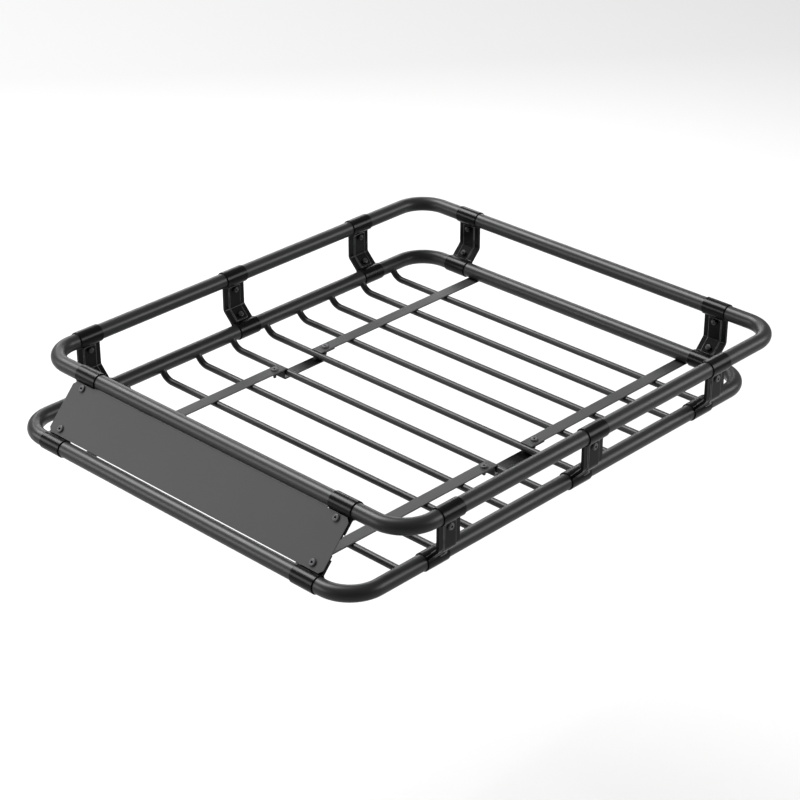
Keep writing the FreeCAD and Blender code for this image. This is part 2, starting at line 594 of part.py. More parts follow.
def seat(origin, direction):
    return FreeCAD.Placement(origin, FreeCAD.Rotation(vec(0, 0, 1), direction))


def group(name, pattern, seats):
    """The same fastener at every seat, as one node of separate solids."""
    copies = []
    for where in seats:
        piece = pattern.Shape.copy()
        piece.Placement = where.multiply(pattern.Placement)
        copies.append(piece)
    feature = doc.addObject("Part::Feature", name)
    feature.Label = name
    feature.Shape = Part.makeCompound(copies)
    parts.append((name, feature))


def bracket_seats(form, body, head_at, nut_at):
    """Seats of the upper and the lower bolt of one bracket, for the heads and for the nuts."""
    inset, run = slant_of(form)
    slant = math.hypot(inset, run)
    sine = inset / slant
    cosine = run / slant
    drop = dim["rail_drop"] if form is BENT else math.hypot(dim["front_reach"], dim["rail_drop"])
    inward = dim["inset"] if form is BENT else 0.0
    foot = vec(bolt_base * sine - inward, 0, bolt_base * cosine - drop)
    bolts = ((vec(0, 0, -bolt_top), vec(1, 0, 0)), (foot, vec(cosine, 0, -sine)))
    heads = []
    nuts = []
    for middle, outward in bolts:
        heads.append(body.Placement.multiply(seat(middle + outward * head_at, outward)))
        nuts.append(body.Placement.multiply(seat(middle - outward * nut_at, outward * -1)))
    return heads, nuts


bracket_heads, bracket_nuts, fairing_heads, fairing_nuts = [], [], [], []
for place_name, form, body in bracket_bodies:
    if form is FLAT:
        heads, nuts = bracket_seats(form, body, panel + dim["fairing_thick"], panel)
        fairing_heads += heads
        fairing_nuts += nuts
    else:
        heads, nuts = bracket_seats(form, body, panel, panel)
        bracket_heads += heads
        bracket_nuts += nuts
group("bracket_screws", bracket_screw, bracket_heads)
group("bracket_nuts", hex_nut, bracket_nuts)
group("fairing_screws", fairing_screw, fairing_heads)
group("fairing_nuts", hex_nut, fairing_nuts)

strip_low = z_bar + dim["bar_od"] / 2
strip_top = strip_low + dim["strip_thick"]
joiner_heads, joiner_nuts = [], []
for side in (-1, 1):
    for end_sign in (-1, 1):
        x = side * x_strip
        y = y_joint + end_sign * joiner_bolt
        joiner_heads.append(seat(vec(x, y, strip_top), vec(0, 0, 1)))
        joiner_nuts.append(seat(vec(x, y, strip_low - dim["joiner_thick"]), vec(0, 0, -1)))
group("joiner_screws", joiner_screw, joiner_heads)
group("joiner_nuts", hex_nut, joiner_nuts)

doc.recompute()
for thing in doc.Objects:
    if "Invalid" in thing.State or "Error" in thing.State:
        raise RuntimeError("%s did not recompute: %s" % (thing.Name, thing.State))
os.makedirs("parts", exist_ok=True)
for name, thing in parts:
    if thing.Shape.isNull() or not thing.Shape.isValid():
        raise RuntimeError("%s has no valid shape" % name)
for name, thing in parts:
    thing.Shape.exportStep("parts/%s.step" % name)
    box = thing.Shape.BoundBox
    print(name, len(thing.Shape.Solids), round(thing.Shape.Volume), round(box.XMin, 2), round(box.XMax, 2),
          round(box.YMin, 2), round(box.YMax, 2), round(box.ZMin, 2), round(box.ZMax, 2))
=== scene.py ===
"""Roof cargo basket: the finished surfaces and paint of every piece, around its fixed frame.

Every piece is a surface worked out on a grid of two parameters, one along a path and one round
a section. Lengths are metres: X across the vehicle, +Y to the rear, +Z up.
"""

import math

import bpy
import numpy as np
from mathutils import Matrix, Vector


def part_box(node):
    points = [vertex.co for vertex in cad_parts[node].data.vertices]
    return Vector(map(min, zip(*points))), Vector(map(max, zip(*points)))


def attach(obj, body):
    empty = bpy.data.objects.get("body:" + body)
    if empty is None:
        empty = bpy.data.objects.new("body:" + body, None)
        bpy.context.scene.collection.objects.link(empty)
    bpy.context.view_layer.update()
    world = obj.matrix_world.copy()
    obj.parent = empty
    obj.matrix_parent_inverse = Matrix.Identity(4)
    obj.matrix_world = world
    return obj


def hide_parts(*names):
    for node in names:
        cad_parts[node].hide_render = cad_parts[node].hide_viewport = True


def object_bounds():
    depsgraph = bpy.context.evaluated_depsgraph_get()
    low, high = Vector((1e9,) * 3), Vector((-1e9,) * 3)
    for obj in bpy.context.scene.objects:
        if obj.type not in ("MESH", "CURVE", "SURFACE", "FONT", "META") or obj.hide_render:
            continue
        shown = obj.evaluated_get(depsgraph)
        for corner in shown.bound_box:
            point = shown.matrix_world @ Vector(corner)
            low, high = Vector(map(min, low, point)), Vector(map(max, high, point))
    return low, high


bl_info = {
    "name": "Roof Cargo Basket",
    "version": (1, 0, 0),
    "blender": (4, 5, 0),
    "location": "View3D > Sidebar > Basket",
    "description": "Builds the finished surfaces of a tubular roof cargo basket around its frame",
    "category": "Add Mesh",
}

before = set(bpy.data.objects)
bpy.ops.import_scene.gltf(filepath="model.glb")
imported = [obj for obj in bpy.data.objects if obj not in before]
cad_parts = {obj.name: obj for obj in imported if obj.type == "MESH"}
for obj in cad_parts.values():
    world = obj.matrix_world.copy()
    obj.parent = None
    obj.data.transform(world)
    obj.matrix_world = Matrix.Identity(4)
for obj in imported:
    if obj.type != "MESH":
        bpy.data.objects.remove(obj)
FRAME_BOX = [[float(x) for x in corner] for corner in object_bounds()]


def limits(node):
    """Lowest and highest corner of a frame node as arrays."""
    low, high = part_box(node)
    return np.array(low), np.array(high)


# The rings: radius, height, half width and the axes of the cross runs, from the frame.
TOP_LOW, TOP_HIGH = limits("top_rail_front")
TOP_REAR_HIGH = limits("top_rail_rear")[1]
BASE_LOW, BASE_HIGH = limits("base_rail_front")
BASE_REAR_HIGH = limits("base_rail_rear")[1]
RAIL_RADIUS = (TOP_HIGH[2] - TOP_LOW[2]) / 2
TOP_Z = (TOP_HIGH[2] + TOP_LOW[2]) / 2
TOP_X = TOP_HIGH[0] - RAIL_RADIUS
TOP_FRONT_Y = TOP_LOW[1] + RAIL_RADIUS
TOP_REAR_Y = TOP_REAR_HIGH[1] - RAIL_RADIUS
BASE_Z = (BASE_HIGH[2] + BASE_LOW[2]) / 2
BASE_X = BASE_HIGH[0] - RAIL_RADIUS
BASE_FRONT_Y = BASE_LOW[1] + RAIL_RADIUS
BASE_REAR_Y = BASE_REAR_HIGH[1] - RAIL_RADIUS
JOINT_Y = TOP_HIGH[1]

# The floor: bars, strips and joiners, from the frame.
BARS = [name for name in sorted(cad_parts) if name.startswith("floor_bar_")]
BAR_LOW, BAR_HIGH = limits(BARS[0])
BAR_RADIUS = (BAR_HIGH[1] - BAR_LOW[1]) / 2
BAR_Z = BAR_LOW[2] + BAR_RADIUS
STRIP_LOW, STRIP_HIGH = limits("strip_rear_right")
JOINER_LOW, JOINER_HIGH = limits("joiner_right")
STRIP_X = (STRIP_LOW[0] + STRIP_HIGH[0]) / 2
JOINER_FLANGE = 0.025

# The brackets: where they sit on the rings, from the frame.
SIDE_BRACKET = limits("bracket_right_middle_outer")
BRACKET_HALF = (SIDE_BRACKET[1][1] - SIDE_BRACKET[0][1]) / 2
SLEEVE_RADIUS = SIDE_BRACKET[1][0] - TOP_X
INSET = TOP_X - BASE_X
REACH = TOP_FRONT_Y - BASE_FRONT_Y
DROP = TOP_Z - BASE_Z
FAIRING_LOW, FAIRING_HIGH = limits("fairing")


def linear(code):
    """A hex colour such as #2b2b2d in linear light, by the sRGB curve."""
    parts = [int(code[i : i + 2], 16) / 255 for i in (1, 3, 5)]
    return [p / 12.92 if p <= 0.04045 else ((p + 0.055) / 1.055) ** 2.4 for p in parts]


# ---------------------------------------------------------------- mesh building

# How strongly an edge is painted pale, as rubbing and painted highlight, for the angle its faces turn
# through.
EDGE_MASK_GAIN = 12.0


def grid_quads(rows, columns, close_rows=False, close_columns=True):
    """The four corners of every cell of a grid of rows x columns points, as an array."""
    r = np.arange(rows if close_rows else rows - 1)
    c = np.arange(columns if close_columns else columns - 1)
    r, c = np.meshgrid(r, c, indexing="ij")
    below, right = (r + 1) % rows, (c + 1) % columns
    cell = [r * columns + c, r * columns + right, below * columns + right, below * columns + c]
    return np.stack(cell, axis=-1).reshape(-1, 4)


def signed_volume(points, quads, fans):
    """Six times the volume inside the faces, summed over their triangles."""
    corners = np.concatenate([quads[:, [0, 1, 2]], quads[:, [0, 2, 3]], *fans])
    a, b, c = (points[corners[:, i]] for i in range(3))
    return float((a * np.cross(b, c)).sum())


def spread(points, quads):
    """How far the normals of the quads round each point differ: 0 on a flat, near 1 on an edge."""
    a, b, c, d = (points[quads[:, i]] for i in range(4))
    normal = np.cross(c - a, d - b)
    length = np.linalg.norm(normal, axis=1, keepdims=True)
    normal = np.where(length > 1e-14, normal / np.maximum(length, 1e-14), 0.0)
    present = (length > 1e-14).astype(float)
    total = np.zeros((len(points), 3))
    count = np.zeros((len(points), 1))
    for i in range(4):
        np.add.at(total, quads[:, i], normal)
        np.add.at(count, quads[:, i], present)
    mean = np.linalg.norm(total / np.maximum(count, 1.0), axis=1)
    return np.clip((1.0 - mean) * EDGE_MASK_GAIN, 0.0, 1.0)


def solid(name, points, quads, caps=(), rubbed_and_highlit=1.0, crease=40.0):
    """A mesh object from grid points, quads and flat end caps, its faces turned outwards.

    The edge scale argument is how much of the pale edge, partly rubbing and partly painted highlight,
    each point shows, and crease the angle in degrees past which an edge is shaded sharp.
    """
    points = np.asarray(points, float).reshape(-1, 3)
    fans = []
    for cap in caps:
        cap = np.asarray(cap)
        fans.append(np.stack([np.full(len(cap) - 2, cap[0]), cap[1:-1], cap[2:]], axis=-1))
    if signed_volume(points, quads, fans) < 0:
        quads = quads[:, ::-1]
        caps = [np.asarray(cap)[::-1] for cap in caps]
    mesh = bpy.data.meshes.new(name)
    mesh.from_pydata(points.tolist(), [], quads.tolist() + [list(map(int, cap)) for cap in caps])
    # Painted highlight and rubbing: a pale-edge mask from the turn of the normals, scaled per point.
    wear = mesh.attributes.new("wear", "FLOAT", "POINT")
    wear.data.foreach_set("value", (spread(points, quads) * np.ravel(rubbed_and_highlit)).astype(np.float32))
    mesh.validate()
    mesh.shade_smooth()
    mesh.set_sharp_from_angle(angle=math.radians(crease))
    piece = bpy.data.objects.new(name, mesh)
    bpy.context.scene.collection.objects.link(piece)
    return piece


def capped(grid):
    """A grid of closed rows as a surface: its points, its quads, and its first and last row as caps."""
    rows, columns = grid.shape[:2]
    cap = np.arange(columns)
    return grid, grid_quads(rows, columns), (cap, cap + (rows - 1) * columns)


def join_grids(parts):
    """Several (points, quads, caps) as one set, with the corner numbers moved along."""
    points, quads, caps, start = [], [], [], 0
    for part_points, part_quads, part_caps in parts:
        part_points = np.asarray(part_points).reshape(-1, 3)
        points.append(part_points)
        quads.append(part_quads + start)
        caps += [np.asarray(cap) + start for cap in part_caps]
        start += len(part_points)
    return np.concatenate(points), np.concatenate(quads), caps


def seat_piece(piece, nodes, material):
    """Paints a piece, ties it to the frame and lets it stand for its frame nodes."""
    piece.data.materials.append(material)
    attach(piece, "root")
    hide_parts(*nodes)
    return piece


def rounded_line(corners, radii, step):
    """Points, tangents and distances along a bent line.

    Each inner corner is an arc of its radius, tangent to both runs: it starts and ends
    radius * tan(half the turn) from the corner, and the tangent turns evenly between them.
    """
    corners = np.asarray(corners, float)
    points = [corners[0]]
    tangents = [np.subtract(corners[1], corners[0])]
    for before, corner, after, radius in zip(corners, corners[1:], corners[2:], radii):
        inward = (corner - before) / np.linalg.norm(corner - before)
        onward = (after - corner) / np.linalg.norm(after - corner)
        turn = math.atan2(inward[0] * onward[1] - inward[1] * onward[0], inward @ onward)
        reach = radius * math.tan(abs(turn) / 2)
        side = np.array([-inward[1], inward[0]]) * math.copysign(1, turn)
        centre = corner - inward * reach + side * radius
        count = max(4, int(math.ceil(abs(turn) * radius / step)))
        angle = np.linspace(0, turn, count + 1)[:, None]
        arm = -side * np.cos(angle) + np.array([side[1], -side[0]]) * np.sin(angle)
        points.extend(centre + radius * arm)
        tangents.extend(inward * np.cos(angle) + np.array([-inward[1], inward[0]]) * np.sin(angle))
    points.append(corners[-1])
    tangents.append(corners[-1] - corners[-2])
    points, tangents = np.array(points), np.array(tangents)
    tangents /= np.linalg.norm(tangents, axis=1, keepdims=True)
    distance = np.concatenate([[0], np.cumsum(np.linalg.norm(np.diff(points, axis=0), axis=1))])
    return points, tangents, distance


def along(line, distance):
    """Points and unit tangents at any array of distances along a bent line."""
    points, tangents, marks = line
    at = np.stack([np.interp(distance, marks, points[:, i]) for i in (0, 1)], axis=-1)
    heading = np.stack([np.interp(distance, marks, tangents[:, i]) for i in (0, 1)], axis=-1)
    return at, heading / np.linalg.norm(heading, axis=-1, keepdims=True)


def swept_round(line, distance, radius, angle):
    """A circle carried along a bent line in its own plane.

    Point = line(distance) + radius * (cos(angle) * left normal + sin(angle) * plane normal).
    The result holds the two plane coordinates and the height above the plane.
    """
    distance, radius, angle = np.broadcast_arrays(distance, radius, angle)
    at, heading = along(line, distance)
    left = np.stack([-heading[..., 1], heading[..., 0]], axis=-1)
    flat = at + left * (radius * np.cos(angle))[..., None]
    return np.concatenate([flat, (radius * np.sin(angle))[..., None]], axis=-1)


# ---------------------------------------------------------------- rails and floor


def rail_tube(corners, height, bend, wall):
    """A bent tube: the outer wall out and the inner wall back, closed into a ring at the ends."""
    line = rounded_line(corners, [bend] * (len(corners) - 2), 0.004)
    total = line[2][-1]
    inside = line[2][1:-1]
    soft = 0.0006
    ends = np.array([0.0, 0.3 * soft, soft, 4 * soft])
    shrink = np.array([soft, 0.3 * soft, 0.0, 0.0])
    outer = np.concatenate([ends, inside, total - ends[::-1]])
    outer_radius = RAIL_RADIUS - np.concatenate([shrink, 0 * inside, shrink[::-1]])
    inner = np.concatenate([[total], inside[::-1], [0.0]])
    distance = np.concatenate([outer, inner])[:, None]
    radius = np.concatenate([outer_radius, np.full(len(inner), RAIL_RADIUS - wall)])[:, None]
    angle = np.linspace(0, 2 * math.pi, 48, endpoint=False)[None, :]
    grid = swept_round(line, distance, radius, angle)
    grid[..., 2] += height
    return grid, grid_quads(*grid.shape[:2], close_rows=True), ()


def bar_rod(y, bend, bend_inset, turn, leg):
    """A floor bar with upturned ends that stop on the skin of the base ring, each with a small bead.

    The end distance of every line along the rod is where its distance from the ring's axis falls
    to the ring's radius. The bead is a quadratic curve from the rod to the ring round that place.
    """
    reach = bend * math.tan(turn / 2)
    corner_x = BASE_X - bend_inset + reach
    tail = reach + 0.008
    tip = np.array([corner_x + tail * math.cos(turn), BAR_Z + tail * math.sin(turn)])
    corners = [(-tip[0], tip[1]), (-corner_x, BAR_Z), (corner_x, BAR_Z), tuple(tip)]
    line = rounded_line(corners, [bend, bend], 0.002)
    total = line[2][-1]
    angle = np.linspace(0, 2 * math.pi, 32, endpoint=False)
    axis = np.array([BASE_X, BASE_Z])
    probe = np.linspace(total / 2, total, 6000)[:, None]
    ray = swept_round(line, probe, BAR_RADIUS, angle[None, :])
    gap = np.linalg.norm(ray[..., :2] - axis, axis=-1) - RAIL_RADIUS
    first = np.argmax(gap < 0, axis=0)
    stop = probe[first, 0]
    body = line[2][(line[2] > total - stop.min() + leg) & (line[2] < stop.min() - leg)]
    body = np.concatenate([[total - stop.min() + leg + 0.001], body, [stop.min() - leg - 0.001]])
    half = body[body > total / 2]
    spans = np.concatenate([half[:, None] + 0 * stop, (stop - leg)[None, :]])
    rod = swept_round(line, spans, BAR_RADIUS, angle[None, :])
    root = swept_round(line, stop[None, :], BAR_RADIUS, angle[None, :])[0]
    outward = swept_round(line, stop[None, :], BAR_RADIUS + 1.0, angle[None, :])[0] - root
    skin = np.concatenate([(root[:, :2] - axis) / RAIL_RADIUS, np.zeros((len(root), 1))], axis=1)
    slide = outward - (outward * skin).sum(1, keepdims=True) * skin
    slide /= np.linalg.norm(slide, axis=1, keepdims=True)
    foot = root + slide * leg
    flat = foot[:, :2] - axis
    foot[:, :2] = axis + flat / np.linalg.norm(flat, axis=1, keepdims=True) * (RAIL_RADIUS - 0.00005)
    ripple = 1 + 0.35 * np.sin(angle * 16)[:, None]
    middle = root + (outward + slide) * leg * 0.12 * ripple
    t = np.linspace(0, 1, 7)[1:, None, None]
    bead = (1 - t) ** 2 * rod[-1] + 2 * t * (1 - t) * middle + t**2 * foot
    hidden = axis + (foot[:, :2] - axis) * 0.96
    sunk = np.concatenate([hidden, foot[:, 2:]], axis=1)[None]
    right = np.concatenate([rod, bead, sunk])
    left = right[::-1].copy()
    left[..., 0] *= -1
    grid = np.concatenate([left, right])
    grid = np.stack([grid[..., 0], y + grid[..., 2], grid[..., 1]], axis=-1)
    return capped(grid)


def rounded_box(width, height, soft, support):
    """Corner points round a rectangle with soft corners, each side held flat by support points."""
    points = []
    for turn in range(4):
        side_x, side_z = ((1, 1), (-1, 1), (-1, -1), (1, -1))[turn]
        centre = np.array([side_x * (width / 2 - soft), side_z * (height / 2 - soft)])
        start = turn * math.pi / 2
        for angle in np.linspace(start, start + math.pi / 2, 4):
            points.append(centre + soft * np.array([math.cos(angle), math.sin(angle)]))
        reach = support if turn % 2 == 0 else 0.0
        if reach:
            points.append(centre - [side_x * reach, 0] + [0, side_z * soft])
            points.append(centre * [-1, 1] + [side_x * reach, side_z * soft])
    return np.array(points)


def floor_strip(x, y_joint, y_rail):
    """A flat strip from a joint bar to the base ring.

    Its section is carried along Y, and each point of the section ends on the ring's round skin:
    y = ring axis -+ the root of (radius squared - height above the axis squared).
    """
    height = STRIP_HIGH[2] - STRIP_LOW[2]
    section = rounded_box(STRIP_HIGH[0] - STRIP_LOW[0], height, 0.0005, 0.002)
    z = section[:, 1] + (STRIP_HIGH[2] + STRIP_LOW[2]) / 2
    back = math.copysign(1, y_rail - y_joint)
    rise = np.minimum(np.abs(z - BASE_Z), RAIL_RADIUS)
    y_end = y_rail - back * np.sqrt(RAIL_RADIUS**2 - rise**2)
    soft = 0.0005
    shrink = 1 - np.array([soft, 0.3 * soft, 0, 0])[:, None] / np.array([0.0127, 0.001])
    stations = np.array([0.0, 0.3 * soft, soft, 0.004])
    rows = [section * factor for factor in shrink] + [section] * 2
    start = [np.full(len(section), y_joint + back * s) for s in stations]
    start += [y_end - back * 0.004, y_end + back * 0.0001]
    mid = (STRIP_HIGH[2] + STRIP_LOW[2]) / 2
    grid = [np.stack([x + r[:, 0], y, mid + r[:, 1]], axis=-1) for r, y in zip(rows, start)]
    return capped(np.array(grid))


# ---------------------------------------------------------------- pressed sheet


def sheet_loop(half, depth, soft, inner_columns):
    """The loop round a sheet's section at each station: across the outer skin, round, and back.

    half is the half width and depth the thickness at each station. The columns in the middle
    keep their place across the sheet, and the outermost follow the edge, rounded by soft.
    """
    corner = np.array([(1.0, 0.0), (0.29, 0.29), (0.0, 1.0)]) * soft
    inner = np.asarray(inner_columns)
    keep = np.minimum(inner[None, :], (half - 2.5 * soft)[:, None])
    support = (half - 2 * soft)[:, None]
    out_edge = half[:, None] - corner[None, :, 0]
    side = np.concatenate([keep, support, out_edge, out_edge[:, ::-1], support, keep[:, ::-1]], axis=1)
    rows = len(half)
    flat = np.zeros((rows, keep.shape[1] + 1))
    top = np.concatenate([flat, np.broadcast_to(corner[:, 1], (rows, 3))], axis=1)
    low = depth[:, None] - top[:, ::-1]
    deep = np.concatenate([top, low], axis=1)
    inside = np.concatenate([np.zeros(top.shape[1]), np.ones(low.shape[1])])
    across = np.concatenate([side, -side[:, ::-1][:, 1:-1]], axis=1)
    deep = np.concatenate([deep, deep[:, ::-1][:, 1:-1]], axis=1)
    inside = np.concatenate([inside, inside[::-1][1:-1]])
    return across, deep, inside


def sheet_points(skin, normal, across, deep, inside, lift_outer, lift_inner):
    """Points of a sheet: skin + normal * (lift - depth), with the place across as third axis.

    skin and normal hold two plane coordinates per station. The lifts are how far the outer and
    the inner skin are pressed out at each point.
    """
    lift = np.where(inside[None, :] > 0, lift_inner, lift_outer)
    plane = skin[:, None, :] + normal[:, None, :] * (lift - deep)[..., None]
    return np.concatenate([plane, across[..., None]], axis=-1)


def smooth_step(value, start, end):
    """0 before start, 1 after end, and 3t^2 - 2t^3 between them; start may be above end."""
    t = np.clip((value - start) / (end - start), 0.0, 1.0)
    return t * t * (3 - 2 * t)


def joiner_plate(x, y, thick, bend):
    """A hat-shaped plate: its upper skin is a bent line in YZ, and the sheet lies below it."""
    top = JOINER_HIGH[2]
    half = (JOINER_HIGH[1] - JOINER_LOW[1]) / 2
    inner = half - JOINER_FLANGE - thick
    corners = [(-half, top), (-inner, top), (-inner, thick), (inner, thick), (inner, top), (half, top)]
    line = rounded_line(corners, [bend + thick, bend, bend, bend + thick], 0.0005)
    total = line[2][-1]
    ends = np.array([0.0, 0.003])
    distance = np.concatenate([ends, line[2][1:-1], total - ends[::-1]])
    skin, heading = along(line, distance)
    normal = np.stack([-heading[:, 1], heading[:, 0]], axis=-1)
    width = np.full(len(distance), (JOINER_HIGH[0] - JOINER_LOW[0]) / 2)
    across, deep, inside = sheet_loop(width, np.full(len(distance), thick), 0.0005, (0.0, 0.006))
    flat = sheet_points(skin, normal, across, deep, inside, 0.0, 0.0)
    return capped(np.stack([x + flat[..., 2], y + flat[..., 0], flat[..., 1]], axis=-1))


def arc(centre, radius, e, u, start, end, count, facing=1.0):
    """An arc centre + radius * (cos a * e + sin a * u), its normals away from the centre or to it."""
    angle = np.linspace(start, end, count)[:, None]
    ray = np.cos(angle) * e + np.sin(angle) * u
    return centre + radius * ray, facing * ray


def straight(start, end, normal, marks):
    """Points at the given distances from the start, up to the end, all with one normal."""
    start, end = np.asarray(start), np.asarray(end)
    way = (end - start) / np.linalg.norm(end - start)
    points = start + np.asarray(marks)[:, None] * way
    return points, np.broadcast_to(normal, points.shape)


def bracket_skin(side, inset, drop, flange, root, bend, bend_at, extra):
    """The outer skin of one bracket half in its own plane, from the top parting to the lower one.

    It goes round the upper rail, through a hollow fillet onto the flange, round the bend, and
    through a second fillet round the lower rail. side is 1 for the outer half, -1 for the inner.
    The third result is how far each station is on the flange: 0 on a sleeve, 1 past a fillet.
    """
    turn = math.atan2(inset, drop - bend_at) if inset else 0.0
    down = math.sqrt((SLEEVE_RADIUS + root) ** 2 - (flange + root) ** 2)
    lean = math.atan2(down, flange + root)
    e_top, u_top = np.array([side, 0.0]), np.array([0.0, 1.0])
    e_low = side * np.array([math.cos(turn), -math.sin(turn)])
    u_low = np.array([math.sin(turn), math.cos(turn)])
    axis = np.array([-inset, -drop])
    fillet_top = (flange + root) * e_top - down * u_top
    fillet_low = axis + (flange + root) * e_low + down * u_low
    pieces = [arc(0.0, SLEEVE_RADIUS, e_top, u_top, math.pi / 2, -lean, 30)]
    pieces.append(arc(fillet_top, root, e_top, u_top, math.pi - lean, math.pi, 7, -1.0))
    flange_start = fillet_top - root * e_top
    flange_end = fillet_low - root * e_low
    if turn:
        reach = bend * math.tan(turn / 2)
        pivot = np.array([-bend, reach - bend_at])
        radius = bend + side * flange
        e, u = np.array([1.0, 0.0]), np.array([0.0, 1.0])
        curve = arc(pivot, radius, e, u, 0.0, -turn, 11, float(side))
        first = np.linalg.norm(curve[0][0] - flange_start)
        last = np.linalg.norm(flange_end - curve[0][-1])
        pieces.append(straight(flange_start, curve[0][0], e_top, [0.001, first / 2, first - 0.001]))
        pieces.append(curve)
        pieces.append(straight(curve[0][-1], flange_end, e_low, [0.001, last / 2, last - 0.001]))
    else:
        marks = np.sort(np.concatenate([[0.001], extra - down, drop - 2 * down - (extra - down)]))
        marks = np.append(marks, drop - 2 * down - 0.001)
        pieces.append(straight(flange_start, flange_end, e_top, marks))
    pieces.append(arc(fillet_low, root, e_low, -u_low, math.pi, math.pi - lean, 7, -1.0))
    pieces.append(arc(axis, SLEEVE_RADIUS, e_low, u_low, lean, -math.pi / 2, 30))
    skin = np.concatenate([p for p, _ in pieces])
    normal = np.concatenate([n for _, n in pieces])
    counts = [len(p) for p, _ in pieces]
    on = np.ones(len(skin))
    on[: counts[0]] = 0.0
    on[len(skin) - counts[-1] :] = 0.0
    on[counts[0] : counts[0] + 7] = np.linspace(0, 1, 7)
    on[len(skin) - counts[-1] - 7 : len(skin) - counts[-1]] = np.linspace(1, 0, 7)
    return skin, normal, on * on * (3 - 2 * on)


# Pale edges of a bracket: a strong painted highlight within a reach of the ridge along its panel, and weak
# rubbing and painted highlight on its other edges.
RIDGE_REACH = 0.0025
RIDGE_HIGHLIGHT = 2.5
FACE_WEAR_AND_HIGHLIGHT = 0.15
# Columns of points across a bracket half, in mm from its middle, close together where the panel ends.
PANEL_COLUMNS = np.array([0, 5, 9.4, 10.4, 11.2, 12.0, 12.7, 13.2, 13.6, 14.0, 14.4, 14.9, 16.0, 19.0])


def bracket_half(side, waisted, placing, sizes):
    """One pressed half of a bracket: a sheet along its skin, with a raised panel down its middle."""
    origin, turn = placing
    flange, rise = sizes.sheet, sizes.panel_rise
    root, bend, soft = 0.0030, 0.0090, 0.0004
    steps = np.array([sizes.waist_start, sizes.waist_inner])
    # Half the length over which the width steps down, half the slope of the panel's edge, and where
    # the hollow behind the panel starts and is full, in from that edge.
    slip, edge = 0.00035, 0.0007
    hollow_start, hollow_full = 0.0020, 0.0036
    extra = np.sort(np.concatenate([steps - slip, steps + slip]))
    if waisted:
        drop = math.hypot(REACH, DROP)
        skin, normal, on = bracket_skin(side, 0.0, drop, flange, root, bend, drop / 2, extra)
        depth_down = -skin[:, 1]
        inner_way = np.minimum(depth_down, drop - depth_down)
        half = np.where(inner_way > steps[0], sizes.shoulder_half, BRACKET_HALF)
        half = np.where(inner_way > steps[1], sizes.waist_half, half)
    else:
        bend_at = DROP - sizes.bend_rise
        skin, normal, on = bracket_skin(side, INSET, DROP, flange, root, bend, bend_at, extra)
        half = np.full(len(skin), BRACKET_HALF)
    thick = (SLEEVE_RADIUS - RAIL_RADIUS) * (1 - on) + flange * on
    across, deep, inside = sheet_loop(half, thick, soft, PANEL_COLUMNS / 1000)
    reach = np.abs(across)
    narrow = (half < BRACKET_HALF - 1e-4)[:, None]
    raised = smooth_step(reach, sizes.panel_half + edge, sizes.panel_half - edge)
    raised = np.maximum(raised, narrow)
    hollow = smooth_step(reach, sizes.panel_half - hollow_start, sizes.panel_half - hollow_full)
    lift_outer = rise * on[:, None] * raised
    lift_inner = rise * on[:, None] * hollow
    flat = sheet_points(skin, normal, across, deep, inside, lift_outer, lift_inner)
    local = np.stack([flat[..., 0], flat[..., 2], flat[..., 1]], axis=-1)
    # Painted highlight: a pale line along each pressed ridge, and a weak pale edge of rubbing and painted
    # highlight elsewhere.
    shoulder = np.abs(reach - sizes.panel_half + 2 * edge) < RIDGE_REACH
    rubbed_and_highlit = np.where(shoulder & (on[:, None] > 0.5), RIDGE_HIGHLIGHT, FACE_WEAR_AND_HIGHLIGHT)
    return *capped(origin + local @ turn.T), rubbed_and_highlit


def bracket_places():
    """Name, whether it has a waist, origin on the top rail's axis, and axes as columns."""
    left = np.array([[-1, 0, 0], [0, -1, 0], [0, 0, 1]]).T
    right = np.eye(3)
    rear = np.array([[0, 1, 0], [-1, 0, 0], [0, 0, 1]]).T
    slope = math.hypot(REACH, DROP)
    out = (0, -DROP / slope, REACH / slope)
    up = (0, REACH / slope, DROP / slope)
    front = np.array([out, (1, 0, 0), up]).T
    places = []
    for name in sorted({n[8:-6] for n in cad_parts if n.endswith("_outer")}):
        low, high = limits("bracket_%s_outer" % name)
        centre = (low + high) / 2
        if name.startswith("left"):
            places.append((name, False, (np.array([-TOP_X, centre[1], TOP_Z]), left)))
        elif name.startswith("right"):
            places.append((name, False, (np.array([TOP_X, centre[1], TOP_Z]), right)))
        elif name.startswith("rear"):
            places.append((name, False, (np.array([centre[0], TOP_REAR_Y, TOP_Z]), rear)))
        else:
            places.append((name, True, (np.array([centre[0], TOP_FRONT_Y, TOP_Z]), front)))
    return places


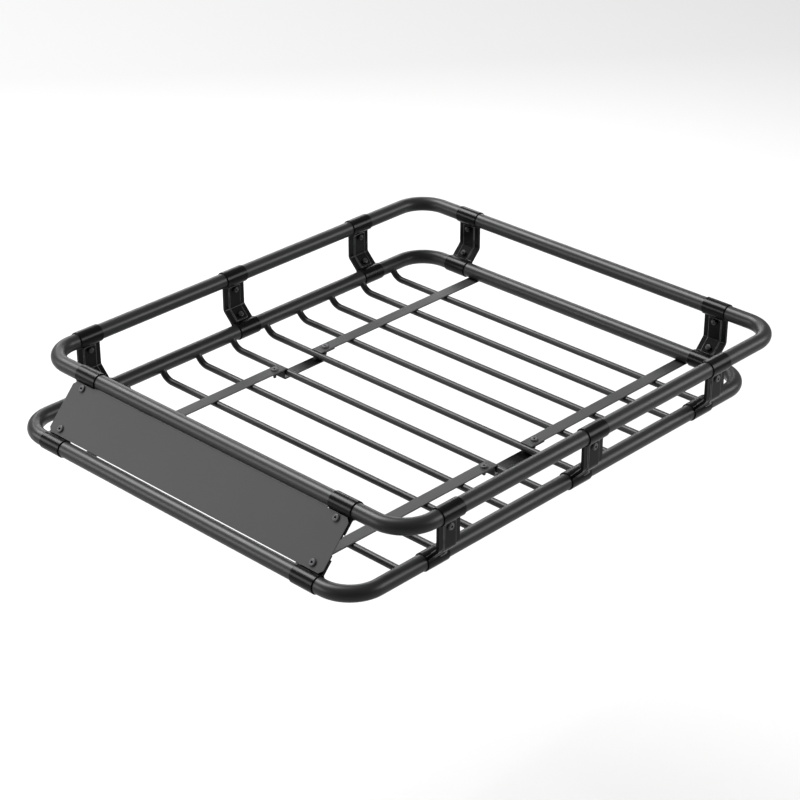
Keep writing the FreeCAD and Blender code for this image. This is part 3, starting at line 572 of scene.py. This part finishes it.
def fairing_plate(placing, sizes):
    """A flat plate with cut corners: rings of its outline, drawn in at the rounded edges."""
    origin, turn = placing
    slope = math.hypot(REACH, DROP)
    near = sizes.sheet + sizes.panel_rise
    far = near + sizes.fairing_thick
    upper = (FAIRING_HIGH[2] - TOP_Z - far * REACH / slope) / (DROP / slope)
    lower = (FAIRING_LOW[2] - TOP_Z - near * REACH / slope) / (DROP / slope)
    notch = -math.sqrt(SLEEVE_RADIUS**2 - near**2) - sizes.fairing_clear
    half, cut = FAIRING_HIGH[0], sizes.fairing_cut
    inner = half - 2 * (BRACKET_HALF + sizes.fairing_over)
    outline = [(inner, upper), (inner, notch), (half - cut, notch), (half, notch - cut)]
    outline += [(half, lower + cut), (half - cut, lower)]
    outline += [(-w, z) for w, z in reversed(outline)]
    closed = [(0.0, upper), *outline, (0.0, upper)]
    radii = [0.0008, 0.0008] + [0.0015] * 8 + [0.0008, 0.0008]
    line = rounded_line(closed, radii, 0.0004)
    inside_runs = np.diff(line[2]) > 0.003
    extra = np.concatenate([line[2][:-1][inside_runs] + 0.0015, line[2][1:][inside_runs] - 0.0015])
    distance = np.unique(np.round(np.concatenate([line[2][:-1], extra]), 6))
    ring, heading = along(line, distance)
    outward = np.stack([-heading[:, 1], heading[:, 0]], axis=-1)
    soft = 0.0004
    inset = np.array([0.0007, soft, 0.29 * soft, 0, 0, 0.29 * soft, soft, 0.0007])[:, None, None]
    depth = np.array([0, 0, 0.29 * soft, soft, -soft, -0.29 * soft, 0, 0])
    depth = np.where(np.arange(8) < 4, far - depth, near - depth)
    flat = ring[None] - outward[None] * inset
    local = np.stack([np.broadcast_to(depth[:, None], flat.shape[:2]), flat[..., 0], flat[..., 1]], axis=-1)
    return capped(origin + local @ turn.T)


# ---------------------------------------------------------------- fasteners

BOLT_RADIUS = 0.0030


def six_sided(flats, angle):
    """Distance from the middle to a hexagon at an angle: half the flats over the cosine to a flat."""
    return flats / 2 / np.cos((angle + math.pi / 6) % (math.pi / 3) - math.pi / 6)


def turned(rings, angle):
    """Points of a turned solid, (radius * cos, radius * sin, height), ring by ring."""
    radius = np.concatenate([np.broadcast_to(r, angle.shape) for r, _ in rings])
    height = np.array([z for _, z in rings])[:, None] * np.ones_like(angle)
    return np.stack([radius * np.cos(angle), radius * np.sin(angle), height], axis=-1)


def screw_solid(length, sizes):
    """A button-head screw: rings from the tip of the shank to the middle of its hexagon socket.

    The thread is a ridge that falls by one pitch per turn: radius = shank - depth * (0.5 - 0.5 *
    cos(2 pi height / pitch - angle)). The crown is a quarter ellipse from the rim to the flat.
    """
    angle = np.linspace(0, 2 * math.pi, 36, endpoint=False)[None, :]
    shank, head, high, crown = BOLT_RADIUS, sizes.head_diameter / 2, sizes.head_height, sizes.head_round
    pitch, groove = 0.0010, 0.00035
    threaded = np.arange(-length + 0.0006, -length + 0.0100, pitch / 4)[:, None]
    thread = shank - groove * (0.5 - 0.5 * np.cos(2 * math.pi * threaded / pitch - angle))
    round_up = np.linspace(0, math.pi / 2, 7)[:, None]
    crown_radius = head - crown + crown * np.cos(round_up)
    crown_height = high - crown + crown * np.sin(round_up)
    key = six_sided(sizes.socket_flats, angle)
    rim = sizes.socket_flats / math.sqrt(3) + 0.0003
    ones = np.ones_like(angle)
    rings = [(shank * 0.35 * ones, -length), (shank * 0.8 * ones, -length)]
    rings += [(r[None, :], float(z)) for r, z in zip(thread, threaded[:, 0])]
    rings += [(shank * ones, -length + 0.0105), (shank * ones, 0.0), (head * 0.97 * ones, 0.0)]
    rings += [(head * ones, 0.0002)]
    rings += [(float(r) * ones, float(z)) for r, z in zip(crown_radius[:, 0], crown_height[:, 0])]
    rings += [(rim * 1.25 * ones, high), (rim * ones, high), (key, high - 0.0002)]
    rings += [(key, high - 0.0008), (key, high - sizes.socket_depth)]
    rings += [(key * 0.5, high - sizes.socket_depth - 0.0001)]
    return capped(turned(rings, angle))


def crown_faces(pattern, sizes):
    """For every quad of a screw: 0 on the head's outside, 1 in the socket and on the shank, which are
    painted dark, the socket as painted shade.
    """
    points, quads, _ = pattern
    middle = np.asarray(points).reshape(-1, 3)[quads].mean(axis=1)
    radius = np.hypot(middle[:, 0], middle[:, 1])
    outside = (middle[:, 2] > 1e-5) & (radius > sizes.socket_flats / math.sqrt(3))
    return np.where(outside, 0, 1)


def nut_solid(sizes):
    """A hexagon nut: each ring is the hexagon, cut back to a circle at the chamfered faces."""
    angle = np.linspace(0, 2 * math.pi, 36, endpoint=False)[None, :]
    outside = six_sided(sizes.nut_flats, angle)
    face = sizes.nut_flats / 2 * 0.97
    height, bore = sizes.nut_height, BOLT_RADIUS
    flare = face + (outside - face) * 0.35
    ones = np.ones_like(angle)
    rings = [(bore * ones, 0.0004), (bore * 1.12 * ones, 0.0), (face * ones, 0.0)]
    rings += [(np.minimum(outside, flare + 0.0001), 0.0002), (outside, 0.0007)]
    rings += [(outside, height - 0.0007), (np.minimum(outside, flare + 0.0001), height - 0.0002)]
    rings += [(face * ones, height), (bore * 1.12 * ones, height), (bore * ones, height - 0.0004)]
    grid = turned(rings, angle)
    return grid, grid_quads(*grid.shape[:2], close_rows=True), ()


def seats(placing, waisted, sizes, head_at, nut_at):
    """Seats of a bracket's two bolts: heads outside, nuts inside, each a place and a direction."""
    origin, turn = placing
    inset, rise = (0.0, 1.0) if waisted else (INSET, sizes.bend_rise)
    drop = math.hypot(REACH, DROP) if waisted else DROP
    slant = math.hypot(inset, rise)
    sine, cosine = inset / slant, rise / slant
    low = np.array([sizes.bolt_base * sine - inset, 0, sizes.bolt_base * cosine - drop])
    bolts = [(np.array([0, 0, -sizes.bolt_top]), np.array([1.0, 0, 0]))]
    bolts.append((low, np.array([cosine, 0, -sine])))
    heads = [(origin + turn @ (p + d * head_at), turn @ d) for p, d in bolts]
    nuts = [(origin + turn @ (p - d * nut_at), turn @ -d) for p, d in bolts]
    return heads, nuts


def copies(pattern, places, key):
    """The same small solid at every seat, each turned about its own axis by an even draw."""
    draw = np.random.default_rng(key)
    points, quads, caps = pattern
    points = np.asarray(points).reshape(-1, 3)
    parts = []
    for place, direction in places:
        spin = draw.uniform(0, 2 * math.pi)
        helper = np.array([0, 0, 1.0]) if abs(direction[2]) < 0.9 else np.array([1.0, 0, 0])
        across = np.cross(helper, direction)
        across /= np.linalg.norm(across)
        other = np.cross(direction, across)
        x = across * math.cos(spin) + other * math.sin(spin)
        y = np.cross(direction, x)
        parts.append((place + points @ np.array([x, y, direction]), quads, caps))
    return join_grids(parts)


# ---------------------------------------------------------------- materials


def add(tree, kind, settings=None, links=None):
    """Adds one node: settings are its properties, links its inputs as values or sockets."""
    node = tree.nodes.new(kind)
    for name, value in (settings or {}).items():
        setattr(node, name, value)
    for name, value in (links or {}).items():
        socket = node.inputs[name]
        if isinstance(value, bpy.types.NodeSocket):
            tree.links.new(value, socket)
        else:
            socket.default_value = value
    return node


# Shared by every coat: the paler colour of an edge, partly rubbing and partly painted highlight,
# how far the roughness drifts, how much smoother such an edge is, and the index of the clear resin.
EDGE_WEAR_AND_HIGHLIGHT = "#6e6e70"
ROUGH_DRIFT = 0.03
RUBBED_SMOOTHER = 0.15
COAT_IOR = 1.45


def powder_coat(name, colour, look):
    """A baked coat on steel: polyester powder on the parts, zinc on the screws and nuts.

    look holds: rough (roughness of the skin), change (how much it varies), peel (depth of the
    orange peel), grain (depth of the fine grain), edge (how much lighter an edge is, as rubbing
    and painted highlight) and shine (strength of its mirror part).
    """
    material = bpy.data.materials.new(name)
    material.use_nodes = True
    tree = material.node_tree
    tree.nodes.clear()
    place = add(tree, "ShaderNodeTexCoord").outputs["Object"]
    # Broad clouding: film thickness drifts over about 120 mm.
    cloud = add(tree, "ShaderNodeTexNoise", {}, {"Vector": place, "Scale": 8.0, "Detail": 3.0})
    # Fine mottle: pigment and grain about 3 mm across.
    mottle = add(tree, "ShaderNodeTexNoise", {}, {"Vector": place, "Scale": 330.0, "Detail": 2.0})
    # Orange peel: the coat's skin swells and dips every 2.5 mm.
    peel = add(tree, "ShaderNodeTexNoise", {}, {"Vector": place, "Scale": 400.0, "Detail": 1.0})
    # Powder grain: 0.5 mm, coarser than the real 0.05 mm so that it shows.
    grain = add(tree, "ShaderNodeTexNoise", {}, {"Vector": place, "Scale": 2000.0, "Detail": 1.0})
    base = [*colour, 1.0]
    light = [min(1.0, c * (1 + look["change"]) + 0.0015) for c in colour] + [1.0]
    dark = [c * (1 - look["change"]) for c in colour] + [1.0]
    blend = {"data_type": "RGBA"}
    broad = {"Value": cloud.outputs["Fac"], "From Min": 0.3, "From Max": 0.7}
    drift = add(tree, "ShaderNodeMapRange", {}, broad)
    tone = add(tree, "ShaderNodeMix", blend, {0: drift.outputs["Result"], 6: dark, 7: light})
    small = {"Value": mottle.outputs["Fac"], "From Min": 0.35, "From Max": 0.65, "To Max": 0.5}
    speck = add(tree, "ShaderNodeMapRange", {}, small)
    film = add(tree, "ShaderNodeMix", blend, {0: speck.outputs["Result"], 6: tone.outputs[2], 7: base})
    # Edges: the coat is thin there and rubbed to a paler, smoother skin in broken patches; the paler colour
    # is also a painted highlight along the edges.
    wear = add(tree, "ShaderNodeAttribute", {"attribute_name": "wear"})
    patch = add(tree, "ShaderNodeTexNoise", {}, {"Vector": place, "Scale": 90.0, "Detail": 4.0})
    edges = {0: wear.outputs["Fac"], 1: patch.outputs["Fac"]}
    edges = add(tree, "ShaderNodeMath", {"operation": "MULTIPLY"}, edges)
    broken = {"Value": edges.outputs[0], "From Min": 0.12, "From Max": 0.5, "To Max": look["edge"]}
    worn_and_highlit = add(tree, "ShaderNodeMapRange", {}, broken).outputs["Result"]
    rubbed_and_highlit = [*linear(EDGE_WEAR_AND_HIGHLIGHT), 1.0]
    paint = add(tree, "ShaderNodeMix", blend, {0: worn_and_highlit, 6: film.outputs[2], 7: rubbed_and_highlit})
    # Roughness: it drifts with the clouding, and a rubbed edge is smoother.
    satin = {**broad, "To Min": look["rough"] - ROUGH_DRIFT, "To Max": look["rough"] + ROUGH_DRIFT}
    satin = add(tree, "ShaderNodeMapRange", {}, satin).outputs["Result"]
    satin = {0: worn_and_highlit, 1: -RUBBED_SMOOTHER, 2: satin}
    satin = add(tree, "ShaderNodeMath", {"operation": "MULTIPLY_ADD"}, satin).outputs[0]
    skin = {"Height": peel.outputs["Fac"], "Distance": look["peel"], "Strength": 1.0}
    skin = add(tree, "ShaderNodeBump", {}, skin).outputs["Normal"]
    skin = {"Height": grain.outputs["Fac"], "Distance": look["grain"], "Strength": 1.0, "Normal": skin}
    skin = add(tree, "ShaderNodeBump", {}, skin).outputs["Normal"]
    links = {"Base Color": paint.outputs[2], "Roughness": satin, "Normal": skin}
    shader = add(tree, "ShaderNodeBsdfPrincipled", {}, links)
    shader.inputs["IOR"].default_value = COAT_IOR
    shader.inputs["Specular IOR Level"].default_value = look["shine"]
    add(tree, "ShaderNodeOutputMaterial", {}, {"Surface": shader.outputs[0]})
    return material


# ---------------------------------------------------------------- properties


def metres(name, description, default):
    """A length property in metres."""
    return bpy.props.FloatProperty(
        name=name, description=description, default=default, unit="LENGTH", precision=5
    )


def tint(name, description, code):
    """A colour property from a hex value."""
    return bpy.props.FloatVectorProperty(
        name=name, description=description, default=linear(code), subtype="COLOR", min=0, max=1
    )


class BasketSizes(bpy.types.PropertyGroup):
    """Sizes of the pieces that the frame's boxes don't give."""

    rail_wall: metres("Rail wall", "Wall of the ring tubes", 0.0016)
    rail_bend: metres("Rail bend", "Centreline radius of the ring corners", 0.0615)
    bar_bend: metres("Bar bend", "Centreline radius of the upturned bar ends", 0.030)
    bar_inset: metres("Bar inset", "Start of the bar bend inside the base ring's axis", 0.0362)
    bar_turn: bpy.props.FloatProperty(
        name="Bar turn", description="Angle of the bar ends", default=math.radians(60), subtype="ANGLE"
    )
    weld_leg: metres("Weld leg", "Leg of the bead where a bar meets the ring", 0.0012)
    joiner_thick: metres("Joiner thickness", "Sheet of the joiner plates", 0.0025)
    joiner_bend: metres("Joiner bend", "Inner bend radius of the joiner plates", 0.0012)
    joiner_bolt: metres("Joiner bolt", "Joiner bolts from the joint plane", 0.0662)
    sheet: metres("Bracket sheet", "Thickness of the bracket plates", 0.0028)
    panel_rise: metres("Panel rise", "Height of the pressed panel", 0.0022)
    panel_half: metres("Panel half width", "Half the width of the pressed panel", 0.0140)
    bend_rise: metres("Bend rise", "Bend of a bracket above the base ring's axis", 0.0344)
    bolt_top: metres("Upper bolt", "Upper bolt from the top ring's axis", 0.0245)
    bolt_base: metres("Lower bolt", "Lower bolt from the base ring's axis", 0.0275)
    waist_start: metres("Shoulder start", "Start of the front bracket's shoulder", 0.0435)
    waist_inner: metres("Waist start", "Start of the front bracket's waist", 0.0514)
    shoulder_half: metres("Shoulder half width", "Half width of the shoulder", 0.0200)
    waist_half: metres("Waist half width", "Half width of the waist", 0.0140)
    fairing_thick: metres("Fairing thickness", "Thickness of the fairing plate", 0.0016)
    fairing_cut: metres("Fairing corner", "Corner cut of the fairing", 0.0070)
    fairing_over: metres("Fairing run", "How far the fairing runs past the front sleeves", 0.0010)
    fairing_clear: metres("Fairing gap", "Gap between the fairing and the sleeves", 0.0005)
    head_diameter: metres("Head diameter", "Diameter of the button heads", 0.0136)
    head_height: metres("Head height", "Height of the button heads", 0.0033)
    head_round: metres("Head crown", "Rounding of the button heads", 0.0024)
    socket_flats: metres("Socket", "Hexagon socket across flats", 0.0040)
    socket_depth: metres("Socket depth", "Depth of the hexagon socket", 0.0030)
    nut_flats: metres("Nut", "Nut across flats", 0.0100)
    nut_height: metres("Nut height", "Height of the nuts", 0.0050)
    bracket_screw: metres("Bracket screw", "Length under the head", 0.0180)
    fairing_screw: metres("Fairing screw", "Length under the head", 0.0200)
    joiner_screw: metres("Joiner screw", "Length under the head", 0.0160)


class BasketFinish(bpy.types.PropertyGroup):
    """Colours of the coats."""

    rail: tint("Rails", "Satin coat of the ring tubes", "#252526")
    bar: tint("Floor bars", "Satin coat of the floor bars", "#252526")
    strip: tint("Strips", "Satin coat of the floor strips", "#303031")
    # This near black also stands for the shade in the joiners' trough.
    bracket: tint("Brackets", "Semi-gloss coat of the brackets and joiners", "#0d0d0e")
    fairing: tint("Fairing", "Matt coat of the fairing", "#3d3d3d")
    screw: tint("Screws", "Grey zinc flake of the screws", "#464648")
    # The nut tint also paints the shade in the screw sockets.
    nut: tint("Nuts", "Black zinc of the nuts", "#1c1c1d")
    floor: tint("Floor", "Pale studio floor", "#bcbcbc")


LOOK_NAMES = ("rough", "change", "peel", "grain", "edge", "shine")
COATS = {
    # Even soft grey lines along the tubes, with a faint drift of tone.
    "rail": ("Satin powder-coated steel tube", (0.40, 0.10, 0.00002, 0.00001, 0.5, 0.36)),
    # The same satin on thin rods, with fewer pale edge patches of rubbing and painted highlight.
    "bar": ("Satin powder-coated round bar", (0.40, 0.10, 0.00002, 0.00001, 0.4, 0.36)),
    # Flat faces that take the light broadly and look a shade paler than the rods.
    "strip": ("Satin powder-coated flat steel", (0.50, 0.08, 0.00004, 0.00002, 0.5, 0.5)),
    # Near black with small sharp glints, and pale lines painted along the pressed ridges as highlights; on
    # the joiners the near black also stands for the shade in their trough.
    "bracket": ("Semi-gloss coated pressed steel", (0.28, 0.15, 0.00001, 0.000005, 1.0, 0.18)),
    # A dull even charcoal face with no glint.
    "fairing": ("Matt powder-coated steel plate", (0.55, 0.05, 0.00004, 0.00003, 0.5, 0.4)),
    # Dull grey heads, a little paler than what they hold.
    "screw": ("Zinc-flake screw steel", (0.45, 0.10, 0.00001, 0.00001, 0.5, 0.5)),
    # Dark nuts and shanks with a faint sheen; in the screw sockets this dark coat is painted shade.
    "nut": ("Black zinc nut steel", (0.38, 0.15, 0.00001, 0.00001, 0.6, 0.35)),
}


def coat(key):
    """The coat of that key, made once."""
    name, look = COATS[key]
    found = bpy.data.materials.get(name)
    if found:
        return found
    colour = list(getattr(bpy.context.scene.basket_finish, key))
    return powder_coat(name, colour, dict(zip(LOOK_NAMES, look)))


# ---------------------------------------------------------------- stage

WORLD_STRENGTH = 0.35
# The floor is far enough below for the thin tubes' shadows to blur away.
FLOOR_DROP = 0.9
FLOOR_RADIUS = 30.0
# Soft lights, each with its place, the point it faces, its two sides in metres and its watts.
LAMPS = [
    ("Key softbox", (-8.0, -0.4, 11.4), (0.0, 0.0, 0.0), (6.8, 6.8), 2400.0),
    ("Front softbox", (-2.1, -3.0, 0.8), (0.0, 0.0, 0.1), (3.2, 1.2), 70.0),
    ("Right softbox", (3.1, 2.7, 1.7), (0.0, 0.0, 0.1), (3.2, 1.8), 125.0),
    ("Back softbox", (-2.9, 2.4, 1.2), (0.0, 0.0, 0.1), (3.2, 1.0), 40.0),
]
# The camera, by angles in degrees round a target: azimuth from -Y towards +X, and elevation.
CAMERA_AZIMUTH = 43.7753
CAMERA_ELEVATION = 28.0924
CAMERA_DISTANCE = 3.99099
CAMERA_TARGET = (0.065292, -0.062283, 0.080)
CAMERA_LENS = 101.805


def looking(place, aim):
    """A matrix at a place whose -Z points at the aim and whose X is level."""
    back = (place - aim) / np.linalg.norm(place - aim)
    helper = np.array([0, 0, 1.0]) if abs(back[2]) < 0.999 else np.array([0, 1.0, 0])
    right = np.cross(helper, back)
    right /= np.linalg.norm(right)
    up = np.cross(back, right)
    rows = [[right[i], up[i], back[i], place[i]] for i in range(3)]
    return Matrix(rows + [[0, 0, 0, 1]])


# ---------------------------------------------------------------- operators


class BASKET_OT_rails(bpy.types.Operator):
    """Builds the two tube rings, each of a front and a rear half."""

    bl_idname = "basket.rails"
    bl_label = "Rails"

    def execute(self, context):
        sizes = context.scene.basket_sizes
        halves = (
            ("top_rail_front", TOP_X, TOP_FRONT_Y, TOP_Z),
            ("top_rail_rear", TOP_X, TOP_REAR_Y, TOP_Z),
            ("base_rail_front", BASE_X, BASE_FRONT_Y, BASE_Z),
            ("base_rail_rear", BASE_X, BASE_REAR_Y, BASE_Z),
        )
        for node, x, far, z in halves:
            corners = [(-x, JOINT_Y), (-x, far), (x, far), (x, JOINT_Y)]
            surface = rail_tube(corners, z, sizes.rail_bend, sizes.rail_wall)
            seat_piece(solid(node + "_tube", *surface), [node], coat("rail"))
        return {"FINISHED"}


class BASKET_OT_floor_bars(bpy.types.Operator):
    """Builds the round bars across the floor."""

    bl_idname = "basket.floor_bars"
    bl_label = "Floor bars"

    def execute(self, context):
        sizes = context.scene.basket_sizes
        for node in BARS:
            low, high = limits(node)
            middle = (low[1] + high[1]) / 2
            surface = bar_rod(middle, sizes.bar_bend, sizes.bar_inset, sizes.bar_turn, sizes.weld_leg)
            seat_piece(solid(node + "_rod", *surface), [node], coat("bar"))
        return {"FINISHED"}


class BASKET_OT_strips(bpy.types.Operator):
    """Builds the flat floor strips and the hat-shaped joiners under their ends."""

    bl_idname = "basket.strips"
    bl_label = "Strips and joiners"

    def execute(self, context):
        sizes = context.scene.basket_sizes
        for word, x in (("left", -STRIP_X), ("right", STRIP_X)):
            front, rear = limits("strip_front_" + word), limits("strip_rear_" + word)
            runs = [("front", front[1][1], BASE_FRONT_Y), ("rear", rear[0][1], BASE_REAR_Y)]
            for half, y_joint, y_rail in runs:
                node = "strip_%s_%s" % (half, word)
                piece = solid(node + "_flat", *floor_strip(x, y_joint, y_rail))
                seat_piece(piece, [node], coat("strip"))
            surface = joiner_plate(x, JOINT_Y, sizes.joiner_thick, sizes.joiner_bend)
            node = "joiner_" + word
            # The joiners take the near-black bracket coat: a black plate whose darkness also paints the
            # shade in the trough.
            seat_piece(solid(node + "_plate", *surface), [node], coat("bracket"))
        return {"FINISHED"}


class BASKET_OT_brackets(bpy.types.Operator):
    """Builds both pressed halves of every bracket."""

    bl_idname = "basket.brackets"
    bl_label = "Brackets"

    def execute(self, context):
        sizes = context.scene.basket_sizes
        for name, waisted, placing in bracket_places():
            for side, half in ((1, "outer"), (-1, "inner")):
                node = "bracket_%s_%s" % (name, half)
                piece = solid(node + "_pressing", *bracket_half(side, waisted, placing, sizes))
                seat_piece(piece, [node], coat("bracket"))
        return {"FINISHED"}


class BASKET_OT_fairing(bpy.types.Operator):
    """Builds the fairing plate on the front brackets."""

    bl_idname = "basket.fairing"
    bl_label = "Fairing"

    def execute(self, context):
        sizes = context.scene.basket_sizes
        turn = [p for p in bracket_places() if p[1]][0][2][1]
        origin = np.array([0.0, TOP_FRONT_Y, TOP_Z])
        surface = fairing_plate((origin, turn), sizes)
        seat_piece(solid("fairing_panel", *surface), ["fairing"], coat("fairing"))
        return {"FINISHED"}


class BASKET_OT_fasteners(bpy.types.Operator):
    """Builds the screws and nuts of the brackets, the fairing and the joiners."""

    bl_idname = "basket.fasteners"
    bl_label = "Fasteners"

    def execute(self, context):
        sizes = context.scene.basket_sizes
        panel = sizes.sheet + sizes.panel_rise
        places = {"bracket": ([], []), "fairing": ([], []), "joiner": ([], [])}
        for _, waisted, placing in bracket_places():
            key = "fairing" if waisted else "bracket"
            head_at = panel + (sizes.fairing_thick if waisted else 0.0)
            heads, nuts = seats(placing, waisted, sizes, head_at, panel)
            places[key][0].extend(heads)
            places[key][1].extend(nuts)
        for x in (-STRIP_X, STRIP_X):
            for way in (-1, 1):
                y = JOINT_Y + way * sizes.joiner_bolt
                under = JOINER_HIGH[2] - sizes.joiner_thick
                places["joiner"][0].append((np.array([x, y, STRIP_HIGH[2]]), np.array([0, 0, 1.0])))
                places["joiner"][1].append((np.array([x, y, under]), np.array([0, 0, -1.0])))
        # Every group turns its screws and its nuts by draws of their own.
        for number, (key, (heads, nuts)) in enumerate(places.items()):
            pattern = screw_solid(getattr(sizes, key + "_screw"), sizes)
            for word, surface in (
                ("screw", copies(pattern, heads, number)),
                ("nut", copies(nut_solid(sizes), nuts, number + 10)),
            ):
                node = "%s_%ss" % (key, word)
                piece = solid(node + "_steel", *surface)
                seat_piece(piece, [node], coat(word))
                if word == "screw":
                    # The socket takes the nuts' dark coat as painted shade in the recess, and the shank and
                    # the end caps take it too.
                    piece.data.materials.append(coat("nut"))
                    slots = np.ones(len(piece.data.polygons), dtype=np.int32)
                    flags = np.tile(crown_faces(pattern, sizes), len(heads))
                    slots[: len(flags)] = flags
                    piece.data.polygons.foreach_set("material_index", slots)
        return {"FINISHED"}


class BASKET_OT_stage(bpy.types.Operator):
    """Sets the pale floor, the soft lights and the camera."""

    bl_idname = "basket.stage"
    bl_label = "Stage"

    def execute(self, context):
        scene = context.scene
        floor_mesh = bpy.data.meshes.new("studio_floor")
        rim = np.linspace(0, 2 * math.pi, 64, endpoint=False)
        level = np.full(len(rim), FRAME_BOX[0][2] - FLOOR_DROP)
        disc = np.stack([FLOOR_RADIUS * np.cos(rim), FLOOR_RADIUS * np.sin(rim), level], axis=-1)
        floor_mesh.from_pydata(disc.tolist(), [], [list(range(len(rim)))])
        floor = bpy.data.objects.new("studio_floor", floor_mesh)
        scene.collection.objects.link(floor)
        paper = bpy.data.materials.new("Pale paper")
        paper.use_nodes = True
        shader = paper.node_tree.nodes["Principled BSDF"]
        shader.inputs["Base Color"].default_value = [*scene.basket_finish.floor, 1.0]
        shader.inputs["Roughness"].default_value = 0.9
        shader.inputs["Specular IOR Level"].default_value = 0.1
        floor_mesh.materials.append(paper)

        scene.view_settings.view_transform = "Standard"
        scene.view_settings.look = "Medium High Contrast"
        world = bpy.data.worlds.new("Studio air")
        scene.world = world
        world.use_nodes = True
        air = world.node_tree.nodes["Background"]
        air.inputs["Color"].default_value = (1.0, 1.0, 1.0, 1.0)
        air.inputs["Strength"].default_value = WORLD_STRENGTH
        for name, place, aim, size, power in LAMPS:
            data = bpy.data.lights.new(name, "AREA")
            data.shape = "RECTANGLE"
            data.size, data.size_y, data.energy = size[0], size[1], power
            lamp = bpy.data.objects.new(name, data)
            scene.collection.objects.link(lamp)
            lamp.matrix_world = looking(np.array(place), np.array(aim))

        data = bpy.data.cameras.new("Studio camera")
        data.lens, data.sensor_width = CAMERA_LENS, 36.0
        data.clip_end = 100.0
        camera = bpy.data.objects.new("Studio camera", data)
        scene.collection.objects.link(camera)
        around, above = math.radians(CAMERA_AZIMUTH), math.radians(CAMERA_ELEVATION)
        back = [math.sin(around) * math.cos(above), -math.cos(around) * math.cos(above), math.sin(above)]
        target = np.array(CAMERA_TARGET)
        camera.matrix_world = looking(target + np.array(back) * CAMERA_DISTANCE, target)
        scene.camera = camera
        return {"FINISHED"}


class BASKET_PT_panel(bpy.types.Panel):
    """Lists the builders of the basket in the 3D view's sidebar."""

    bl_idname = "BASKET_PT_panel"
    bl_label = "Roof Cargo Basket"
    bl_space_type = "VIEW_3D"
    bl_region_type = "UI"
    bl_category = "Basket"

    def draw(self, context):
        for operator in OPERATORS:
            self.layout.operator(operator.bl_idname)
        for group in (context.scene.basket_sizes, context.scene.basket_finish):
            for name in group.__annotations__:
                self.layout.prop(group, name)


OPERATORS = (
    BASKET_OT_rails,
    BASKET_OT_floor_bars,
    BASKET_OT_strips,
    BASKET_OT_brackets,
    BASKET_OT_fairing,
    BASKET_OT_fasteners,
    BASKET_OT_stage,
)
CLASSES = (BasketSizes, BasketFinish, *OPERATORS, BASKET_PT_panel)


def register():
    """Registers the classes and hangs the properties on the scene."""
    for cls in CLASSES:
        bpy.utils.register_class(cls)
    bpy.types.Scene.basket_sizes = bpy.props.PointerProperty(type=BasketSizes)
    bpy.types.Scene.basket_finish = bpy.props.PointerProperty(type=BasketFinish)


def unregister():
    """Takes the properties and the classes away again."""
    del bpy.types.Scene.basket_finish
    del bpy.types.Scene.basket_sizes
    for cls in reversed(CLASSES):
        bpy.utils.unregister_class(cls)


def main():
    """Builds every piece and the stage."""
    register()
    bpy.ops.basket.rails()
    bpy.ops.basket.floor_bars()
    bpy.ops.basket.strips()
    bpy.ops.basket.brackets()
    bpy.ops.basket.fairing()
    bpy.ops.basket.fasteners()
    bpy.ops.basket.stage()


if __name__ == "__main__":
    main()
